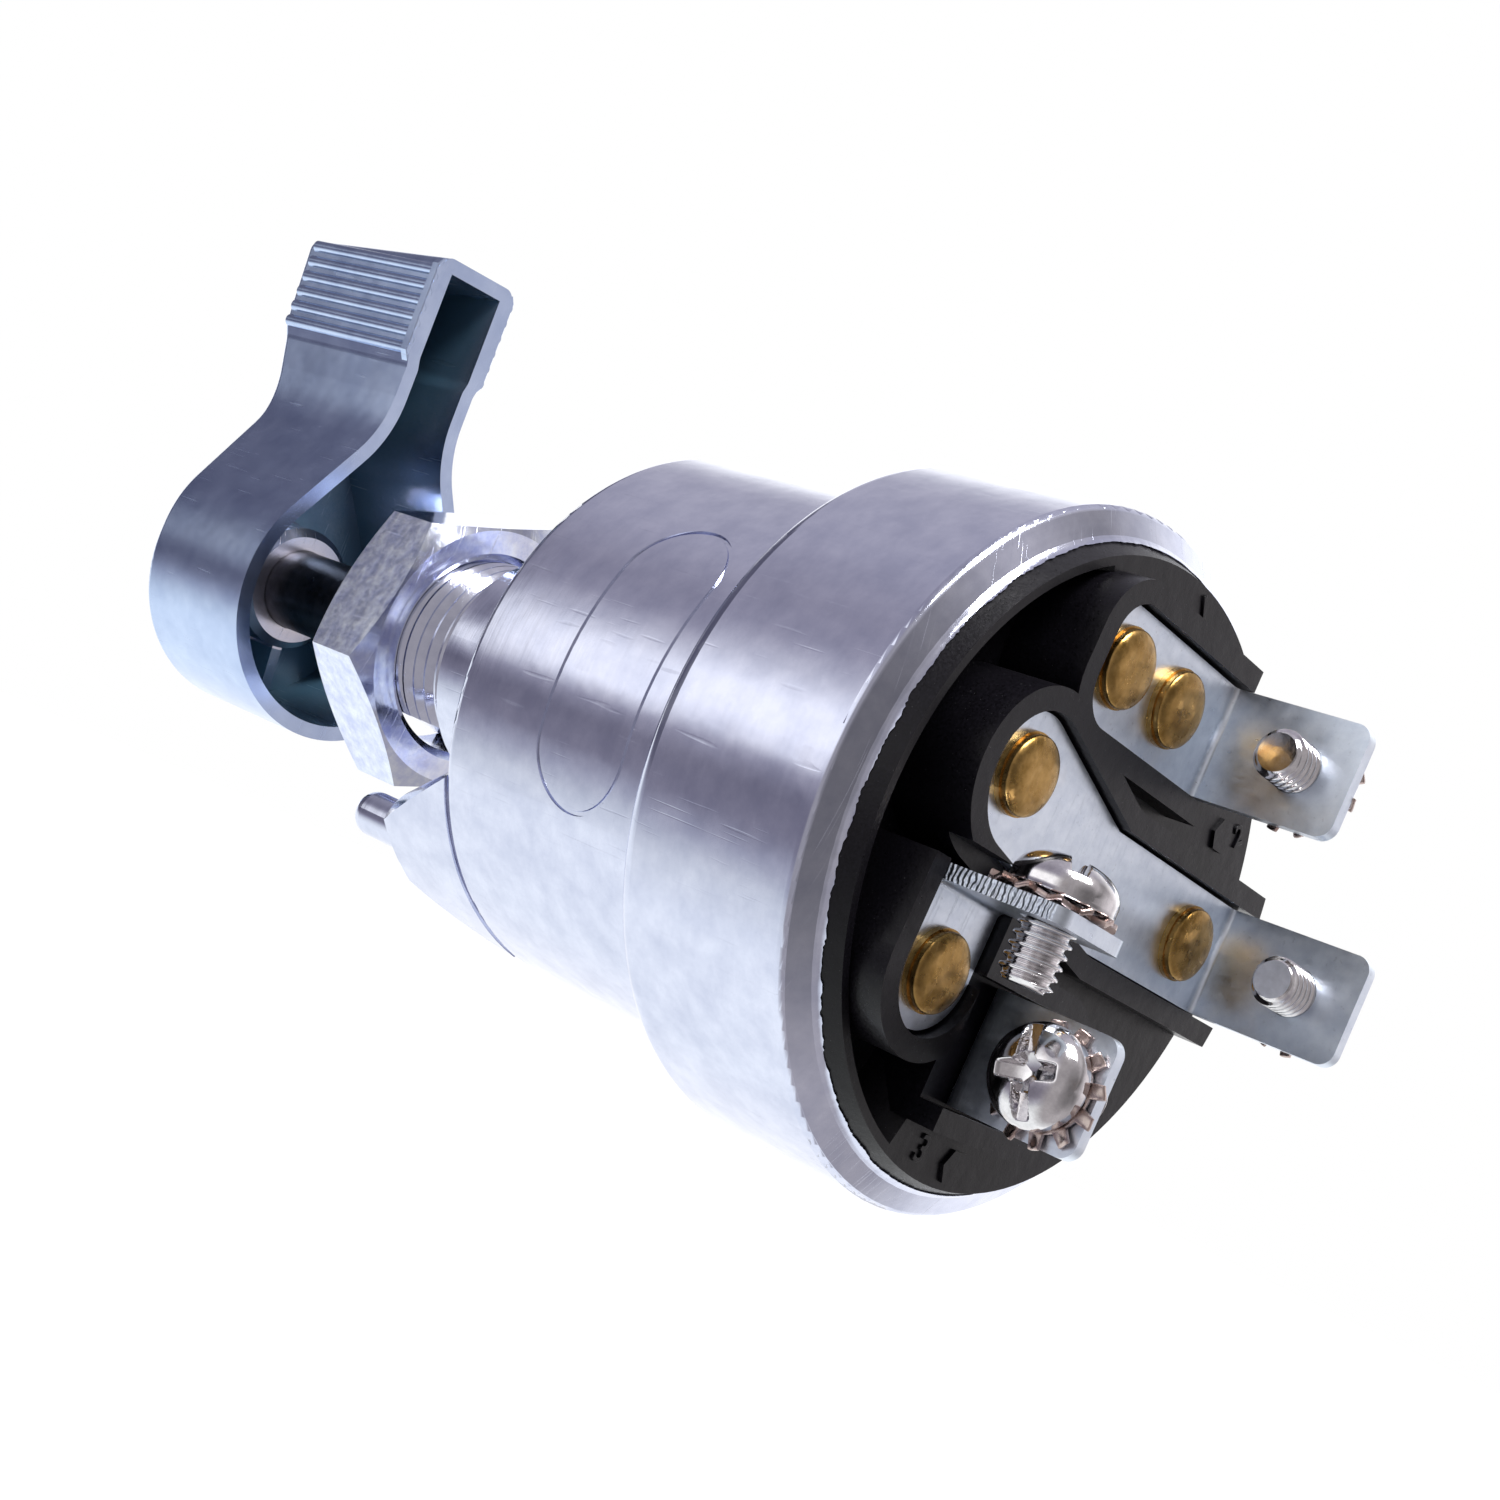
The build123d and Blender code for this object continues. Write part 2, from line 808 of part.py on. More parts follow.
with BuildPart() as detent_spring_1:
    add(detent_spring(1))
finish(detent_spring_1, "detent_spring_1")

with BuildPart() as detent_spring_2:
    add(detent_spring(-1))
finish(detent_spring_2, "detent_spring_2")

with BuildPart() as detent_ball_1:
    with Locations((ball_circle_r, detent_station, 0)):
        Sphere(ball_r)
finish(detent_ball_1, "detent_ball_1")

with BuildPart() as detent_ball_2:
    with Locations((-ball_circle_r, detent_station, 0)):
        Sphere(ball_r)
finish(detent_ball_2, "detent_ball_2")


# Contact plate: three arms with domed contacts, driven by the rotor's nose

with BuildPart() as contact_plate:
    with BuildSketch(across(contact_front)):
        Circle(contact_hub_r)
        for angle in contact_angles:
            with Locations(Rotation(0, 0, angle)):
                with Locations((contact_circle_r / 2, 0)):
                    Rectangle(contact_circle_r, contact_arm)
                with Locations((contact_circle_r, 0)):
                    Circle(contact_arm / 2)
        add(two_flats(nose_r + slide_clearance, nose_flat + slide_clearance), mode=Mode.SUBTRACT)
    extrude(amount=-contact_thickness)
    with BuildSketch(across(contact_front + contact_thickness)):
        for angle in contact_angles:
            with Locations(polar(contact_circle_r, angle)):
                Circle(contact_dimple_r)
    extrude(amount=-contact_dimple, taper=30)
finish(contact_plate, "contact_plate")


# Terminal plates: outlines seen from the lever's end, grown by a margin

def tangent_point(point, centre, radius, side):
    """Where the tangent from point touches the circle, on the given side."""
    dx = point[0] - centre[0]
    dz = point[1] - centre[1]
    angle = atan2(dz, dx) + side * acos(radius / hypot(dx, dz))
    return (centre[0] + radius * cos(angle), centre[1] + radius * sin(angle))


def outline_1(grow, start=tab_1):
    half = strip_half + grow
    reach = end_1 + grow - start
    with BuildSketch() as outline:
        with Locations((start + reach / 2, row_1)):
            RectangleRounded(reach, 2 * half, end_corner_1 + grow)
        with Locations((start + reach / 4, row_1)):
            Rectangle(reach / 2, 2 * half)
    return outline.sketch


def outline_2(grow, start=tab_2):
    top, bottom = elbow_2
    top = (top[0], top[1] + grow)
    bottom = (bottom[0], bottom[1] - grow)
    with BuildSketch() as outline:
        with Locations(lobe_2):
            Circle(lobe_r + grow)
        with BuildLine():
            Polyline(
                (start, top[1]),
                top,
                tangent_point(top, lobe_2, lobe_r + grow, -1),
                lobe_2,
                tangent_point(bottom, lobe_2, lobe_r + grow, 1),
                bottom,
                (start, bottom[1]),
                close=True,
            )
        make_face()
    return outline.sketch


def outline_3(grow, start=tab_3):
    half = strip_half + grow
    middle = end_3 + strip_half
    with BuildSketch() as outline:
        with Locations((column_3, (start + middle) / 2)):
            Rectangle(2 * half, start - middle)
        with Locations((column_3, middle)):
            Circle(half)
    return outline.sketch


def outline_4(grow, start=tab_4):
    half = strip_half + grow
    middle = end_4 + strip_half
    with BuildSketch() as outline:
        with Locations(((start + middle) / 2, row_4)):
            Rectangle(start - middle, 2 * half)
        with Locations((middle, row_4)):
            Circle(half)
    return outline.sketch


def tab(place, tab_end, screw_station):
    """Tab with its bend; the plane has x along the plate and y along Y."""
    reach = 3 * plate_thickness
    with BuildPart() as strip:
        with BuildSketch(place):
            with BuildLine():
                FilletPolyline(
                    (0, tab_end),
                    (0, plate_floor),
                    (reach, plate_floor),
                    (reach, plate_top),
                    (plate_thickness, plate_top),
                    (plate_thickness, tab_end),
                    radius=(0, bend_inner + plate_thickness, 0, 0, bend_inner, 0),
                    close=True,
                )
            make_face()
        extrude(amount=strip_half, both=True)
        corners = strip.edges().filter_by(
            lambda edge: abs(edge.length - plate_thickness) < 1e-4
            and abs(edge.center().Y - tab_end) < 1e-4
        )
        fillet(corners, tab_corner)
        # Tapped hole for the screw
        with BuildSketch(Plane(origin=place.origin, x_dir=place.z_dir, z_dir=place.x_dir)):
            with Locations((0, -screw_station)):
                Circle(screw_r + fastener_clearance)
        extrude(amount=plate_thickness, mode=Mode.SUBTRACT)
    return strip.part


def rivet_holes():
    with BuildSketch() as holes:
        for place in rivet_places:
            with Locations(place):
                Circle(rivet_shank_r + fastener_clearance)
    return holes.sketch


place_1 = Plane(origin=(tab_1, 0, row_1), x_dir=(1, 0, 0), z_dir=(0, 0, 1))
place_2 = Plane(origin=(tab_2, 0, row_2), x_dir=(1, 0, 0), z_dir=(0, 0, 1))
place_3 = Plane(origin=(column_3, 0, tab_3), x_dir=(0, 0, -1), z_dir=(1, 0, 0))
place_4 = Plane(origin=(tab_4, 0, row_4), x_dir=(-1, 0, 0), z_dir=(0, 0, -1))
bend_reach = 2 * plate_thickness

with BuildPart() as terminal_1:
    with BuildSketch(across(plate_floor)):
        add(outline_1(0, start=tab_1 + bend_reach))
        add(rivet_holes(), mode=Mode.SUBTRACT)
    extrude(amount=-plate_thickness)
    add(tab(place_1, tab_end_1, screw_stations[0]))
finish(terminal_1, "terminal_1")

with BuildPart() as terminal_2:
    with BuildSketch(across(plate_floor)):
        add(outline_2(0, start=tab_2 + bend_reach))
        add(rivet_holes(), mode=Mode.SUBTRACT)
    extrude(amount=-plate_thickness)
    add(tab(place_2, tab_end_2, screw_stations[1]))
finish(terminal_2, "terminal_2")

with BuildPart() as terminal_3:
    with BuildSketch(across(plate_floor)):
        add(outline_3(0, start=tab_3 - bend_reach))
        add(rivet_holes(), mode=Mode.SUBTRACT)
    extrude(amount=-plate_thickness)
    add(tab(place_3, tab_end_3, screw_stations[2]))
finish(terminal_3, "terminal_3")

with BuildPart() as terminal_4:
    with BuildSketch(across(plate_floor)):
        add(outline_4(0, start=tab_4 - bend_reach))
        add(rivet_holes(), mode=Mode.SUBTRACT)
    extrude(amount=-plate_thickness)
    add(tab(place_4, tab_end_4, screw_stations[3]))
finish(terminal_4, "terminal_4")


# Terminal base: moulded disc with a sunken side and walled pockets

wall_margin = pocket_clearance + pocket_wall
open_1 = tab_1 + 0.2
open_2 = -base_rim_r - 1
open_3 = tab_3 + pocket_clearance
open_4 = pocket_end_4

with BuildPart() as pocket_walls:
    with BuildSketch(across(recess_floor - 1)):
        add(outline_1(wall_margin, start=open_1))
        add(outline_2(wall_margin, start=open_2))
        add(outline_3(wall_margin, start=open_3))
        add(outline_4(wall_margin, start=open_4))
        Circle(base_rim_r, mode=Mode.INTERSECT)
    extrude(amount=-(wall_top - recess_floor + 1))

with BuildPart() as pockets:
    with BuildSketch(across(plate_floor)):
        add(outline_1(pocket_clearance, start=open_1 - pocket_wall))
        add(outline_2(pocket_clearance, start=open_2))
        add(outline_3(pocket_clearance, start=open_3 + pocket_wall))
        add(outline_4(pocket_clearance, start=open_4 + pocket_wall))
    extrude(amount=-(wall_top - plate_floor + 1))

with BuildPart() as terminal_base:
    add(
        turned(
            (0, base_front),
            (base_r, base_front),
            (base_r, lip_front),
            (base_neck_r, lip_front),
            (base_neck_r, lip_back),
            (base_rim_r, base_rim_back),
            (0, base_rim_back),
        )
    )
    # Sunken side between the pockets and the rim
    with BuildSketch(across(base_rim_back)):
        add(sector(0, recess_mouth_r, recess_from, recess_to))
    extrude(
        amount=base_rim_back - recess_floor,
        taper=degrees(atan((recess_mouth_r - recess_r) / (base_rim_back - recess_floor))),
        mode=Mode.SUBTRACT,
    )
    add(pocket_walls.part)
    add(pockets.part, mode=Mode.SUBTRACT)
    with BuildSketch(across(base_front)):
        add(rivet_holes())
    extrude(amount=-(wall_top - base_front), mode=Mode.SUBTRACT)
    with BuildSketch(across(base_rim_back)):
        with BuildLine():
            Polyline(*wedge_slot, close=True)
        make_face()
    extrude(amount=wedge_slot_depth, mode=Mode.SUBTRACT)
    with BuildSketch(across(base_rim_back)):
        for place in pip_places:
            with Locations(place):
                RegularPolygon(pip_r, 6)
    extrude(amount=-pip_height)
finish(terminal_base, "terminal_base")

with BuildPart() as base_gasket:
    add(
        turned(
            (base_seat_r, ledge),
            (base_r, ledge),
            (base_r, base_front),
            (base_seat_r, base_front),
        )
    )
finish(base_gasket, "base_gasket")


# Rivets: brass, with a flat contact inside and a stepped dome outside

def rivet(place):
    x, z = place
    with BuildPart() as body:
        with BuildSketch(Plane(origin=(x, 0, z), x_dir=(1, 0, 0), z_dir=(0, 0, 1))):
            with BuildLine():
                lower = Polyline(
                    (0, base_front - rivet_inner_height),
                    (rivet_inner_r, base_front - rivet_inner_height),
                    (rivet_inner_r, base_front),
                    (rivet_shank_r, base_front),
                    (rivet_shank_r, plate_top),
                    (rivet_step_r, plate_top),
                    (rivet_step_r, plate_top + rivet_step),
                    (rivet_head_r, plate_top + rivet_step),
                    (rivet_head_r, plate_top + rivet_edge),
                )
                crown = EllipticalCenterArc(
                    (rivet_flat_r, plate_top + rivet_edge),
                    rivet_head_r - rivet_flat_r,
                    rivet_head_height - rivet_edge,
                    arc_size=90,
                )
                Polyline(crown @ 1, (0, plate_top + rivet_head_height), lower @ 0)
            make_face()
        revolve(axis=Axis((x, 0, z), (0, 1, 0)))
    return body.part


with BuildPart() as rivet_1a:
    add(rivet(rivet_places[0]))
finish(rivet_1a, "rivet_1a")

with BuildPart() as rivet_1b:
    add(rivet(rivet_places[1]))
finish(rivet_1b, "rivet_1b")

with BuildPart() as rivet_2a:
    add(rivet(rivet_places[2]))
finish(rivet_2a, "rivet_2a")

with BuildPart() as rivet_2b:
    add(rivet(rivet_places[3]))
finish(rivet_2b, "rivet_2b")

with BuildPart() as rivet_3:
    add(rivet(rivet_places[4]))
finish(rivet_3, "rivet_3")

with BuildPart() as rivet_4:
    add(rivet(rivet_places[5]))
finish(rivet_4, "rivet_4")


# Screws: pan heads with a cross and a slot; a plane's normal leaves the head

def pan_screw(seat, length, shank_r):
    """Screw whose head sits on the seat plane, with the shank below it."""
    side = Plane(origin=seat.origin, x_dir=seat.x_dir, z_dir=-seat.y_dir)
    edge = 0.35 * shank_r
    with BuildPart() as body:
        with BuildSketch(side):
            with BuildLine():
                lower = Polyline(
                    (0, -length),
                    (shank_r - edge, -length),
                    (shank_r, -length + edge),
                    (shank_r, 0),
                    (screw_head_r, 0),
                    (screw_head_r, screw_head_edge),
                )
                crown = EllipticalCenterArc(
                    (0, screw_head_edge),
                    screw_head_r,
                    screw_head_height - screw_head_edge,
                    arc_size=90,
                )
                Line(crown @ 1, lower @ 0)
            make_face()
        revolve(axis=Axis(seat.origin, seat.z_dir))
        with BuildSketch(seat.offset(screw_head_height)):
            Rectangle(2 * screw_head_r, screw_slot)
            Rectangle(screw_slot, 1.2 * screw_head_r)
        extrude(amount=-screw_slot_depth, mode=Mode.SUBTRACT)
        with BuildSketch(seat.offset(screw_head_height - screw_slot_depth)):
            Rectangle(screw_head_r, 0.9 * screw_slot)
            Rectangle(0.9 * screw_slot, screw_head_r)
        extrude(amount=-screw_slot_depth, taper=18, mode=Mode.SUBTRACT)
    return body.part


def star_washer(seat, shift):
    """Flat washer with teeth round its edge, lying off the screw's centre."""
    place = Plane(
        origin=seat.origin + Vector(*shift), x_dir=seat.x_dir, z_dir=seat.z_dir
    )
    with BuildPart() as body:
        with BuildSketch(place):
            Circle(washer_root_r)
            with PolarLocations(washer_root_r - 0.5, washer_teeth):
                with Locations(((washer_r - washer_root_r + 0.5) / 2, 0)):
                    Rectangle(washer_r - washer_root_r + 0.5, washer_tooth)
            Circle(washer_hole_r, mode=Mode.SUBTRACT)
        extrude(amount=washer_thickness)
    return body.part


def outer_face(place, screw_station, turn):
    """Plane on a tab's outer face at its screw, turned about its normal."""
    a = radians(turn)
    return Plane(
        origin=place.origin + Vector(0, screw_station, 0),
        x_dir=place.y_dir * cos(a) + place.z_dir * sin(a),
        z_dir=-place.x_dir,
    )


outer_1 = outer_face(place_1, screw_stations[0], screw_turns[0])
outer_2 = outer_face(place_2, screw_stations[1], screw_turns[1])
outer_3 = outer_face(place_3, screw_stations[2], screw_turns[2])
outer_4 = outer_face(place_4, screw_stations[3], screw_turns[3])

with BuildPart() as star_washer_1:
    add(star_washer(outer_1, washer_shifts[0]))
finish(star_washer_1, "star_washer_1")

with BuildPart() as star_washer_2:
    add(star_washer(outer_2, washer_shifts[1]))
finish(star_washer_2, "star_washer_2")

with BuildPart() as star_washer_3:
    add(star_washer(outer_3, washer_shifts[2]))
finish(star_washer_3, "star_washer_3")

with BuildPart() as star_washer_4:
    add(star_washer(outer_4, washer_shifts[3]))
finish(star_washer_4, "star_washer_4")

with BuildPart() as terminal_screw_1:
    add(pan_screw(outer_1.offset(washer_thickness), screw_lens[0], screw_r))
finish(terminal_screw_1, "terminal_screw_1")

with BuildPart() as terminal_screw_2:
    add(pan_screw(outer_2.offset(washer_thickness), screw_lens[1], screw_r))
finish(terminal_screw_2, "terminal_screw_2")

with BuildPart() as terminal_screw_3:
    add(pan_screw(outer_3.offset(washer_thickness), screw_lens[2], screw_r))
finish(terminal_screw_3, "terminal_screw_3")

with BuildPart() as terminal_screw_4:
    add(pan_screw(outer_4.offset(washer_thickness), screw_lens[3], screw_r))
finish(terminal_screw_4, "terminal_screw_4")

with BuildPart() as lever_screw:
    add(pan_screw(across(screw_seat, lever_lean), lever_screw_len, lever_screw_r))
finish(lever_screw, "lever_screw")
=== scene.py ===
import json
import math
import random

import bmesh
import bpy
from mathutils import Matrix, Vector


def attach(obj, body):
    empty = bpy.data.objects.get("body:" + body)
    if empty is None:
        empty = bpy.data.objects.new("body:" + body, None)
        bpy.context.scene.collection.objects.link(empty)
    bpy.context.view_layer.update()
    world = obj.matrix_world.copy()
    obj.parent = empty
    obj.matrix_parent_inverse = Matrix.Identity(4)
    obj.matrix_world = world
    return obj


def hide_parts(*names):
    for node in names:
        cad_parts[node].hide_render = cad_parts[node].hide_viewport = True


mm = 0.001
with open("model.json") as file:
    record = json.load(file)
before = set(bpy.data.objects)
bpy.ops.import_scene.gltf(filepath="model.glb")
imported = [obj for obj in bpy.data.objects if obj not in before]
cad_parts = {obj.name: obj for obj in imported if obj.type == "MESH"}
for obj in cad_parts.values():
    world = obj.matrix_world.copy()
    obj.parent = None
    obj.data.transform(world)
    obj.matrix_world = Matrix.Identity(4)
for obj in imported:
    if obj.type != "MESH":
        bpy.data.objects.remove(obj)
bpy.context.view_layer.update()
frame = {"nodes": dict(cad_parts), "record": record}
randomDraw = random.Random(7)
print("frame loaded")


# Nodes and colours

# sRGB hex to the linear colour that Blender's sockets expect
def linearColour(code):
    channels = [int(code[i:i + 2], 16) / 255 for i in (1, 3, 5)]
    return [c / 12.92 if c <= 0.04045 else ((c + 0.055) / 1.055) ** 2.4 for c in channels] + [1.0]


# Adds a node, sets its properties and sockets, and links other sockets into it
def addNode(tree, kind, settings=None, values=None, links=None):
    node = tree.nodes.new(kind)
    for key, value in (settings or {}).items():
        setattr(node, key, value)
    for key, value in (values or {}).items():
        node.inputs[key].default_value = value
    for key, socket in (links or {}).items():
        tree.links.new(socket, node.inputs[key])
    return node


# One step of arithmetic on sockets or plain numbers
def addMath(tree, operation, first, second=None, clamp=False):
    node = tree.nodes.new("ShaderNodeMath")
    node.operation = operation
    node.use_clamp = clamp
    for index, value in enumerate((first, second)):
        if value is None:
            continue
        if isinstance(value, (int, float)):
            node.inputs[index].default_value = value
        else:
            tree.links.new(value, node.inputs[index])
    return node.outputs[0]


# Colour ramp through (position, colour) stops
def addRamp(tree, factor, stops):
    ramp = tree.nodes.new("ShaderNodeValToRGB")
    elements = ramp.color_ramp.elements
    while len(elements) < len(stops):
        elements.new(0.5)
    for element, (position, colour) in zip(elements, stops):
        element.position = position
        element.color = colour
    tree.links.new(factor, ramp.inputs["Fac"])
    return ramp.outputs["Color"]


def addNoise(tree, vector, scale, detail=3.0, roughness=0.5):
    node = addNode(
        tree, "ShaderNodeTexNoise",
        values={"Scale": scale, "Detail": detail, "Roughness": roughness},
        links={"Vector": vector},
    )
    return node.outputs["Fac"]


def newMaterial(name):
    material = bpy.data.materials.new(name)
    material.use_nodes = True
    tree = material.node_tree
    tree.nodes.clear()
    shader = addNode(tree, "ShaderNodeBsdfPrincipled")
    addNode(tree, "ShaderNodeOutputMaterial", links={"Surface": shader.outputs["BSDF"]})
    return material, tree, shader


# Object coordinates in millimetres, the same as the frame's
def millimetres(tree):
    place = addNode(tree, "ShaderNodeTexCoord")
    scaled = addNode(
        tree, "ShaderNodeVectorMath", {"operation": "SCALE"},
        {"Scale": 1 / mm}, {"Vector": place.outputs["Object"]},
    )
    return scaled.outputs["Vector"]


# Coordinates round the switch axis, stretched so that noise runs in rings
def turnedVector(tree, place, across, along):
    parts = addNode(tree, "ShaderNodeSeparateXYZ", links={"Vector": place}).outputs
    angle = addMath(tree, "ARCTAN2", parts["Z"], parts["X"])
    vector = addNode(
        tree, "ShaderNodeCombineXYZ",
        links={
            "X": addMath(tree, "MULTIPLY", angle, along),
            "Y": addMath(tree, "MULTIPLY", parts["Y"], across),
        },
    )
    return vector.outputs["Vector"]


def stretchedVector(tree, place, scale, turn=(0.0, 0.0, 0.0)):
    node = addNode(
        tree, "ShaderNodeMapping",
        values={"Scale": scale, "Rotation": turn}, links={"Vector": place},
    )
    return node.outputs["Vector"]


def mixColours(tree, factor, first, second, blend="MIX"):
    node = addNode(tree, "ShaderNodeMix", {"data_type": "RGBA", "blend_type": blend})
    for index, value in ((0, factor), (6, first), (7, second)):
        if isinstance(value, (int, float)):
            node.inputs[index].default_value = value
        elif isinstance(value, (list, tuple)):
            node.inputs[index].default_value = value
        else:
            tree.links.new(value, node.inputs[index])
    return node.outputs[2]


# Materials

# Grooves of a given pitch on the faces that point along one axis, as a height
def addStripes(tree, place, stripes):
    normal = addNode(tree, "ShaderNodeNewGeometry").outputs["Normal"]
    facing = addNode(tree, "ShaderNodeSeparateXYZ", links={"Vector": normal}).outputs[stripes["face"]]
    mask = addMath(tree, "GREATER_THAN", facing, 0.9)
    along = addNode(tree, "ShaderNodeSeparateXYZ", links={"Vector": place}).outputs[stripes["along"]]
    wobble = addMath(tree, "MULTIPLY", addNoise(tree, place, 1.5), 0.6)
    phase = addMath(tree, "MULTIPLY", addMath(tree, "ADD", along, wobble), 2 * math.pi / stripes["pitch"])
    wave = addMath(tree, "MULTIPLY", addMath(tree, "SINE", phase), stripes["height"])
    return addMath(tree, "MULTIPLY", wave, mask)


# Plated or bare metal: cloudy colour, brushing, hairlines and small dents, and painted shade in hollows where
# the look asks for it
def makeMetal(name, look):
    material, tree, shader = newMaterial(name)
    place = millimetres(tree)
    clouds = addNoise(tree, place, look["cloudScale"], 4.0, 0.6)
    colour = addRamp(tree, clouds, [
        (0.32, linearColour(look["colours"][0])),
        (0.68, linearColour(look["colours"][1])),
    ])
    if look.get("rings"):
        brushVector = turnedVector(tree, place, look["brush"], look["brushAlong"])
    else:
        brushVector = stretchedVector(tree, place, look["brushScale"])
    brush = addNoise(tree, brushVector, 1.0, 3.0, 0.65)
    scratchSum = None
    for turn in look.get("scratchTurns", ()):
        vector = stretchedVector(tree, place, (13.0, 0.13, 0.13), turn)
        lines = addNoise(tree, vector, 1.0, 1.0, 0.4)
        cut = addMath(tree, "SUBTRACT", lines, look["scratchCut"])
        line = addMath(tree, "MULTIPLY", cut, 14.0, clamp=True)
        scratchSum = line if scratchSum is None else addMath(tree, "MAXIMUM", scratchSum, line)
    for tint in look.get("tints", ()):
        patches = addNoise(tree, place, tint["scale"], 3.0, 0.55)
        amount = addMath(tree, "SUBTRACT", patches, tint["from"])
        amount = addMath(tree, "MULTIPLY", amount, tint["gain"], clamp=True)
        amount = addMath(tree, "MULTIPLY", amount, tint["most"])
        colour = mixColours(tree, amount, colour, linearColour(tint["colour"]))
    # Painted shade: where ambient occlusion finds a hollow, such as the lever's cavity, the colour is
    # darkened towards a dark teal and the metal is made less metallic
    hollow = look.get("hollow")
    if hollow:
        shade = addNode(
            tree, "ShaderNodeAmbientOcclusion", {"samples": 8},
            {"Distance": hollow["reach"] * mm},
        ).outputs["AO"]
        shadeShare = addMath(tree, "SUBTRACT", hollow["from"], shade)
        shadeShare = addMath(tree, "MULTIPLY", shadeShare, hollow["gain"], clamp=True)
        # The boss that takes the shaft is kept out of the painted shade and painted pale grey there instead,
        # a painted highlight
        flat = addNode(tree, "ShaderNodeVectorMath", {"operation": "MULTIPLY"}, {1: (1, 0, 1)}, {0: place})
        radius = addNode(
            tree, "ShaderNodeVectorMath", {"operation": "LENGTH"}, links={"Vector": flat.outputs["Vector"]},
        ).outputs["Value"]
        boss = addMath(tree, "LESS_THAN", radius, hollow["bossRadius"])
        bossPaintedHighlight = addMath(tree, "MULTIPLY", boss, shadeShare)
        shadeShare = addMath(tree, "SUBTRACT", shadeShare, bossPaintedHighlight)
        colour = mixColours(tree, bossPaintedHighlight, colour, linearColour(hollow["bossHighlightColour"]))
        colour = mixColours(tree, shadeShare, colour, linearColour(hollow["colour"]))
        shadeDulling = addMath(tree, "MULTIPLY", shadeShare, hollow["dull"])
        tree.links.new(addMath(tree, "SUBTRACT", 1.0, shadeDulling), shader.inputs["Metallic"])
    brushShare = addMath(tree, "MULTIPLY", brush, 0.6)
    cloudShare = addMath(tree, "MULTIPLY", clouds, 0.4)
    mixed = addMath(tree, "ADD", brushShare, cloudShare)
    roughness = addNode(
        tree, "ShaderNodeMapRange",
        values={
            "From Min": 0.3, "From Max": 0.7,
            "To Min": look["roughness"][0], "To Max": look["roughness"][1],
        },
        links={"Value": mixed},
    ).outputs["Result"]
    height = addMath(tree, "MULTIPLY", brush, look["brushHeight"])
    if scratchSum is not None:
        roughness = addMath(tree, "ADD", roughness, addMath(tree, "MULTIPLY", scratchSum, 0.10))
        depth = addMath(tree, "MULTIPLY", scratchSum, look["scratchDepth"])
        height = addMath(tree, "SUBTRACT", height, depth)
    # Shallow dents spread over the whole surface
    dents = addNoise(tree, place, look["dentScale"], 2.0, 0.5)
    height = addMath(tree, "ADD", height, addMath(tree, "MULTIPLY", dents, look["dentHeight"]))
    if look.get("stripes"):
        height = addMath(tree, "ADD", height, addStripes(tree, place, look["stripes"]))
    bump = addNode(
        tree, "ShaderNodeBump",
        values={"Strength": 1.0, "Distance": mm}, links={"Height": height},
    )
    tree.links.new(colour, shader.inputs["Base Color"])
    tree.links.new(roughness, shader.inputs["Roughness"])
    tree.links.new(bump.outputs["Normal"], shader.inputs["Normal"])
    if not hollow:
        shader.inputs["Metallic"].default_value = 1.0
    return material


# Moulded plastic, rubber or fibre: faint grain, dust and a soft sheen
def makeMoulded(name, look):
    material, tree, shader = newMaterial(name)
    place = millimetres(tree)
    grain = addNoise(tree, place, look["grainScale"], 4.0, 0.6)
    colour = addRamp(tree, grain, [
        (0.35, linearColour(look["colours"][0])),
        (0.75, linearColour(look["colours"][1])),
    ])
    dust = addNoise(tree, place, 7.0, 1.0, 0.4)
    speck = addMath(tree, "MULTIPLY", addMath(tree, "SUBTRACT", dust, 0.74), 9.0, clamp=True)
    colour = mixColours(tree, addMath(tree, "MULTIPLY", speck, look["dust"]), colour, linearColour("#8c8c90"))
    roughness = addNode(
        tree, "ShaderNodeMapRange",
        values={
            "From Min": 0.3, "From Max": 0.7,
            "To Min": look["roughness"][0], "To Max": look["roughness"][1],
        },
        links={"Value": grain},
    ).outputs["Result"]
    waves = addNoise(tree, place, 0.55, 2.0, 0.5)
    height = addMath(
        tree, "ADD",
        addMath(tree, "MULTIPLY", grain, look["grainHeight"]),
        addMath(tree, "MULTIPLY", waves, look["waveHeight"]),
    )
    bump = addNode(
        tree, "ShaderNodeBump",
        values={"Strength": 1.0, "Distance": mm}, links={"Height": height},
    )
    tree.links.new(colour, shader.inputs["Base Color"])
    tree.links.new(roughness, shader.inputs["Roughness"])
    tree.links.new(bump.outputs["Normal"], shader.inputs["Normal"])
    shader.inputs["Specular IOR Level"].default_value = look["sheen"]
    return material


castingLook = {
    "colours": ("#c8cce0", "#dcdff0"), "cloudScale": 0.35,
    "rings": True, "brush": 2.6, "brushAlong": 1.2, "brushHeight": 0.003,
    "roughness": (0.09, 0.17),
    "scratchTurns": ((0.3, 0.5, 0.9), (1.2, 0.2, 2.0), (0.7, 1.9, 0.3)),
    "scratchCut": 0.72, "scratchDepth": 0.004,
    "dentScale": 0.22, "dentHeight": 0.038,
}
leverLook = {
    "colours": ("#b6c6e6", "#c9d8f4"), "cloudScale": 0.2,
    "brushScale": (1.2, 0.3, 0.6), "brushHeight": 0.0015,
    "roughness": (0.19, 0.25),
    "scratchTurns": ((0.4, 0.2, 1.1), (1.5, 0.8, 0.2)),
    "scratchCut": 0.73, "scratchDepth": 0.004,
    "dentScale": 0.16, "dentHeight": 0.05,
    # Painted shade darkens the lever's cavity towards dark teal, and the shaft boss gets a painted pale
    # highlight instead
    "hollow": {
        "reach": 14.0, "from": 0.60, "gain": 5.0, "dull": 0.9, "colour": "#4a6a80",
        "bossRadius": 6.7, "bossHighlightColour": "#dad6de",
    },
}
